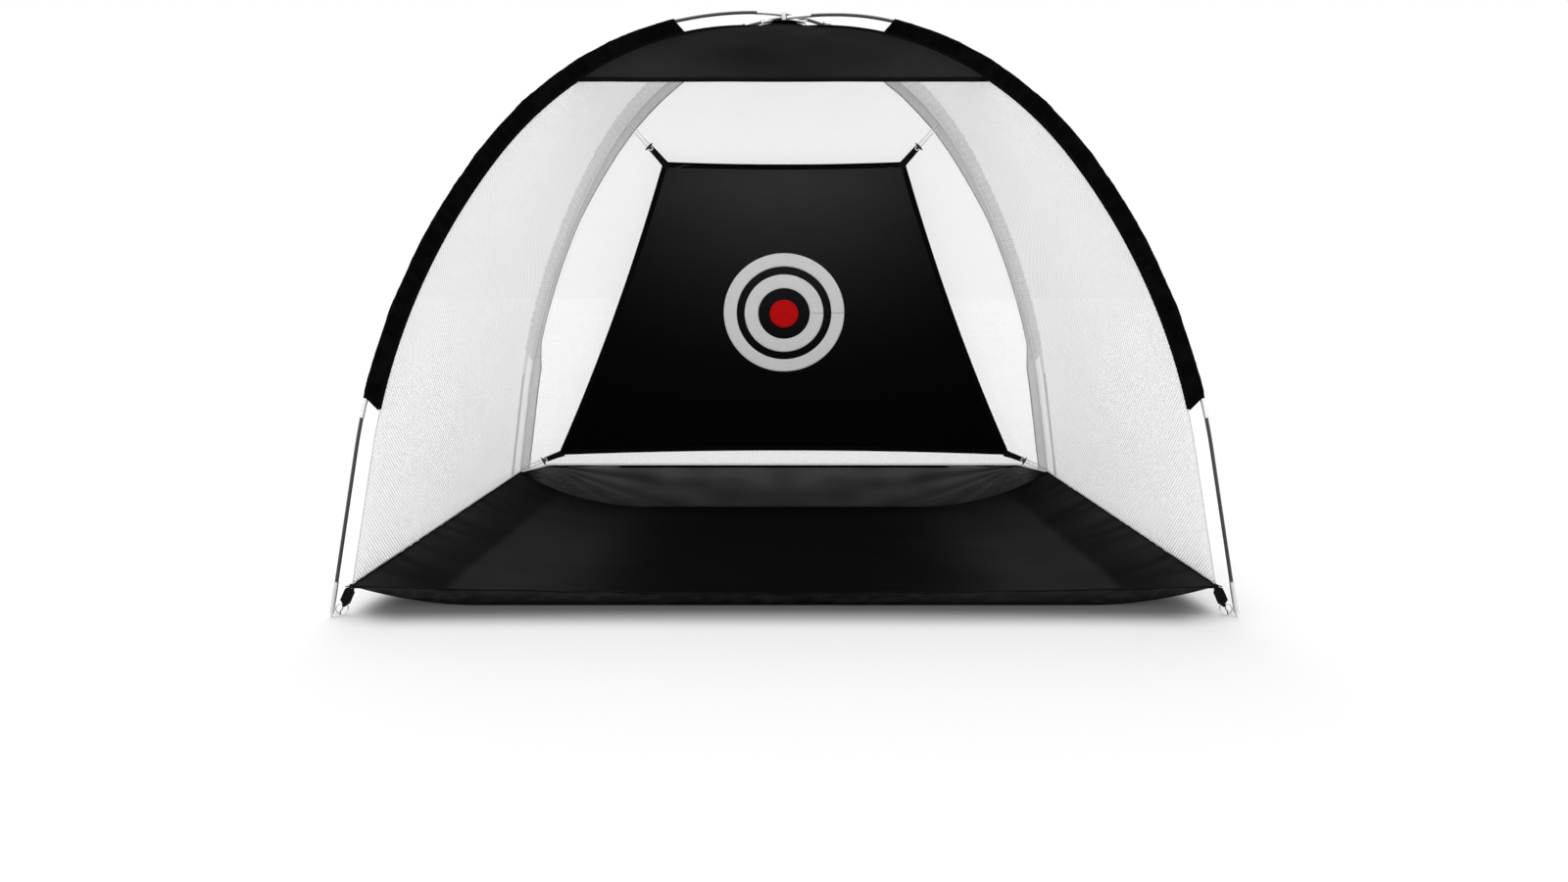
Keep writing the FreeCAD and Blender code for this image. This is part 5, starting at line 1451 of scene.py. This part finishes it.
class Target:
    """Frame and outline of the hung target."""

    def __init__(self):
        sizes, target = settings("net_frame"), settings("net_target")
        self.base = np.array([0.0, sizes.feet_depth / 2 - target.setback, target.foot_height])
        self.up = np.array([0.0, -math.sin(target.lean), math.cos(target.lean)])
        self.front = np.cross(ACROSS, self.up)
        self.sizes = target

    def place(self, x, y, z=0.0):
        x, y = np.asarray(x)[..., None], np.asarray(y)[..., None]
        z = np.asarray(z)[..., None] if np.ndim(z) else z
        return self.base + ACROSS * x + self.up * y + self.front * z

    def sides(self, samples):
        """The four edges as (x, y): foot, right, top and left, round the panel."""
        target = self.sizes
        low, high, tall = target.low_width / 2, target.high_width / 2, target.height
        corners = np.array([(-low, 0), (low, 0), (high, tall), (-high, tall)])
        sags = (target.foot_sag, target.side_sag, target.top_sag, target.side_sag)
        found = []
        for at, sag in enumerate(sags):
            one, two = corners[at], corners[(at + 1) % 4]
            way = unit(two - one)
            share = ramp(samples)
            bow = 4 * sag * share * (1 - share)
            found.append(one + (two - one) * share + np.array([-way[1], way[0]]) * bow)
        return found

    def drape(self, x, y):
        """How far the cloth stands out of its plane."""
        target = self.sizes
        tall = held(y / target.height)
        half = (target.low_width * (1 - tall) + target.high_width * tall) / 2
        edge = held(1 - (x / half) ** 2) * np.sin(tall * math.pi)
        total = 0.004 * edge
        for sign in (-1, 1):
            for height, width in ((0.0, target.low_width / 2), (target.height, target.high_width / 2)):
                dx, dy = x - sign * width, y - height
                away = np.hypot(dx, dy)
                turn = np.arctan2(dy, dx)
                total = total + 0.0022 * np.sin(turn * 19) * np.exp(-away / 0.16) * held(away / 0.05)
        return total + 0.0008 * ripple(x, y, 0.4, 71) * np.sqrt(edge)

    def on_cloth(self, flat, lift=0.0):
        """Places on the hanging cloth, or over it, from places on the flat one."""
        x, y = flat[..., 0], flat[..., 1]
        return self.place(x, y, self.drape(x, y) + lift)


class TargetOperator(bpy.types.Operator):
    """Make the hung target: panel, bound edges and printed rings"""

    bl_idname = "chipping_net.target"
    bl_label = "Target"

    def execute(self, context):
        target = Target()
        self.panel(target)
        self.binding(target)
        self.rings(target)
        return {"FINISHED"}

    @staticmethod
    def panel(target):
        rows, columns = 90, 110
        foot, right, top, left = target.sides(columns)
        left, right = target.sides(rows)[3][::-1], target.sides(rows)[1]
        top = top[::-1]
        u = np.linspace(0, 1, columns)[None, :, None]
        v = np.linspace(0, 1, rows)[:, None, None]
        flat = ((1 - v) * foot[None] + v * top[None] + (1 - u) * left[:, None] + u * right[:, None]
                - (1 - u) * (1 - v) * foot[0] - u * (1 - v) * foot[-1] - (1 - u) * v * top[0] - u * v * top[-1])
        tall = held(flat[..., 1] / target.sizes.height)
        # Painted light: the cloth is lighter towards its top and its middle.
        pale = held(tall / 0.92) ** 3 * np.exp(-(flat[..., 0] / 0.5) ** 2)
        piece = sheet_piece("target_cloth", target.on_cloth(flat), target.sizes.cloth, cloth=flat, pale=pale)
        finish_piece(piece, "target_cloth", "target", "target_panel")

    @staticmethod
    def binding(target):
        """Folded tape round the edge, mitred at the corners."""
        strips, samples, half_tape = Strips(), 80, 0.00135
        sides = target.sides(samples)
        band = target.sizes.band
        for at, side in enumerate(sides):
            ahead = unit(np.gradient(side, axis=0))
            inward = np.stack([-ahead[:, 1], ahead[:, 0]], axis=1)
            span = float(np.linalg.norm(side[-1] - side[0]))
            before, after = sides[at - 1], sides[(at + 1) % 4]
            cuts = []
            for other, here in ((before[-2] - before[-1], ahead[0]), (after[1] - after[0], -ahead[-1])):
                opening = math.acos(float(np.clip(unit(other).dot(here), -1, 1)))
                cuts.append(band / math.tan(opening / 2) / span)
            share = np.linspace(0, 1, samples)
            inner_share = cuts[0] + (1 - cuts[0] - cuts[1]) * share
            inner = read_table(inner_share, share, side + inward * band)
            outer = side - inward * 0.0008
            rings = []
            for part, lift in ((0.0, 0.4), (0.03, 1.0), (0.5, 1.12), (0.97, 0.9), (1.0, 0.55),
                               (1.0, -0.55), (0.97, -0.9), (0.5, -1.1), (0.03, -1.0), (0.0, -0.4)):
                rings.append(target.on_cloth(outer + (inner - outer) * part, lift * half_tape))
            strips.add(np.stack(rings, axis=1))
            for part in (0.12, 0.86):
                flat = outer + (inner - outer) * part
                for face in (-1, 1):
                    up = np.tile(target.front * face, (samples, 1))
                    strips.stitches(target.on_cloth(flat, face * TAPE_FACE), up)
        strips.piece("target_tape", "binding_black", "target", "target_binding")

    @staticmethod
    def rings(target):
        sizes = target.sizes
        turns = np.linspace(0, TURN, 161)[None, :]
        lift = sizes.cloth / 2 + 0.00025
        for name, inner, outer in (("target_ring_large", sizes.ring_one_inside, sizes.ring_one),
                                   ("target_ring_small", sizes.ring_two_inside, sizes.ring_two),
                                   ("target_dot", 0.0008, sizes.dot)):
            radius = np.linspace(inner, outer, 9)[:, None]
            flat = np.stack([radius * np.cos(turns), sizes.rings_height + radius * np.sin(turns)], axis=2)
            piece = sheet_piece(name, target.on_cloth(flat, lift), 0.0003, cloth=flat)
            if name == "target_dot":
                finish_piece(piece, "print_red", "target", "bullseye_dot")
            else:
                finish_piece(piece, "print_grey", "target", "bullseye_rings")


class StrapsOperator(bpy.types.Operator):
    """Make the corner straps, sewn loops and lens-shaped toggles of the target"""

    bl_idname = "chipping_net.straps"
    bl_label = "Straps"

    def execute(self, context):
        for name, (start, aim, across, out, span) in self.frames().items():
            self.strap(name, start, aim, across, out)
            self.loop(name, start, aim, across, out, span)
            self.toggle(name, across)
        return {"FINISHED"}

    @staticmethod
    def toggle(name, across):
        """Moulded bar, thick in the middle and thin at its rounded ends, with a waist for the strap."""
        share = np.linspace(-1, 1, 41)
        radius = 0.0041 * np.clip(1 - np.abs(share) ** 2.4, 0.02, 1) ** 0.5 * (1 - 0.35 * np.abs(share))
        radius = radius * (1 - 0.16 * np.exp(-(share / 0.12) ** 2))
        node = name + "_toggle"
        line = box_middle(node)[0] + across * (share * 0.0145)[:, None]
        Strips().add(round_rings(line, radius, 16)).piece(node + "_bar", "toggle_plastic", node, node)

    @staticmethod
    def frames():
        sizes, target = settings("net_frame"), Target()
        top = (target.sizes.high_width / 2, target.sizes.height, target.sizes.high_anchor, 0.0004)
        bottom = (target.sizes.low_width / 2, 0.0, target.sizes.low_anchor, 0.0012)
        found = {}
        for level, (half_width, tall, height, inset) in (("top_", top), ("bottom_", bottom)):
            for side, sign in (("left", -1), ("right", 1)):
                half = HalfPole("rear_" + side)
                inward = sizes.seam_offset + TAPE_FACE + inset
                start = target.place(sign * half_width, tall)
                aim = half.point(half.along_at(height, inward), inward) - start
                span = float(np.linalg.norm(aim))
                aim = aim / span
                across = unit(np.cross(target.front, aim))
                found[level + side] = (start, aim, across, np.cross(aim, across), span)
        return found

    @staticmethod
    def strap(name, start, aim, across, out):
        """Black webbing from the target's corner to the toggle, its end folded back."""
        reach = settings("net_target").toggle_reach
        path = [(-0.020, 0.0022), (-0.004, 0.0018), (0.012, 0.0), (0.035, -0.0002), (reach - 0.006, 0.0),
                (reach + 0.0018, 0.0003)]
        samples = 30
        line = smooth_line([start + aim * x + out * z for x, z in path], samples)
        width = np.interp(np.linspace(0, 1, samples), [0, 0.3, 0.8, 1], [0.022, 0.019, 0.016, 0.013])
        strips = Strips().add(tape_rings(line, across, width[:, None], 0.0015))
        neck = smooth_line([start + aim * reach + out * z for z in (0.0, 0.0012, 0.0026)], 6)
        strips.add(round_rings(neck, 0.0014, guide=across))
        piece = strips.piece(name + "_strap_webbing", "webbing", None, "target_straps")
        tuple(start + aim * 0.004)
        tuple(start + aim * (reach - 0.004))
        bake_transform(piece)

    @staticmethod
    def loop(name, start, aim, across, out, span):
        """Tape loop from the seam over the strap, with the toggle through it."""
        radius, past_toggle = 0.0046, 0.011
        near, far = settings("net_target").toggle_reach - past_toggle + radius, span - radius
        straight = near + (far - near) * np.linspace(0, 1, 14)
        turns = np.linspace(0, math.pi, 11)[1:-1]
        outline = [(x, radius) for x in straight]
        outline += [(far + radius * math.sin(turn), radius * math.cos(turn)) for turn in turns]
        outline += [(x, -radius) for x in straight[::-1]]
        outline += [(near - radius * math.sin(turn), -radius * math.cos(turn)) for turn in turns]
        outline = np.array(outline)
        line = start + outline[:, :1] * aim + outline[:, 1:] * across + out * 0.0020
        sideways = unit(np.cross(out, directions(line, closed=True)))
        strips = Strips().add(flat_rings(line, sideways, out, 0.0032, 0.0015), closed=True)
        strips.piece(name + "_seam_loop", "tie_white", "shelter", "seam_loops")


class NetPanelUI(bpy.types.Panel):
    """Buttons that build the chipping net, part by part"""

    bl_idname = "VIEW3D_PT_chipping_net"
    bl_label = "Chipping net"
    bl_space_type = "VIEW_3D"
    bl_region_type = "UI"
    bl_category = "Chipping net"

    def draw(self, context):
        for operator in OPERATORS:
            self.layout.operator(operator.bl_idname)


OPERATORS = (StageOperator, PolesOperator, FeetOperator, SleevesOperator, NetsOperator, CanopyOperator,
             TrayOperator, TargetOperator, StrapsOperator)


def register():
    for group in GROUPS.values():
        bpy.utils.register_class(group)
    for name, group in GROUPS.items():
        setattr(bpy.types.Scene, name, PointerProperty(type=group))
    for item in (*OPERATORS, NetPanelUI):
        bpy.utils.register_class(item)


def unregister():
    for item in reversed((*OPERATORS, NetPanelUI)):
        bpy.utils.unregister_class(item)
    for name in GROUPS:
        delattr(bpy.types.Scene, name)
    for group in reversed(list(GROUPS.values())):
        bpy.utils.unregister_class(group)


def main():
    """Build everything."""
    register()
    for operator in OPERATORS:
        group, name = operator.bl_idname.split(".")
        getattr(getattr(bpy.ops, group), name)()
    bpy.context.view_layer.update()


if __name__ == "__main__":
    main()
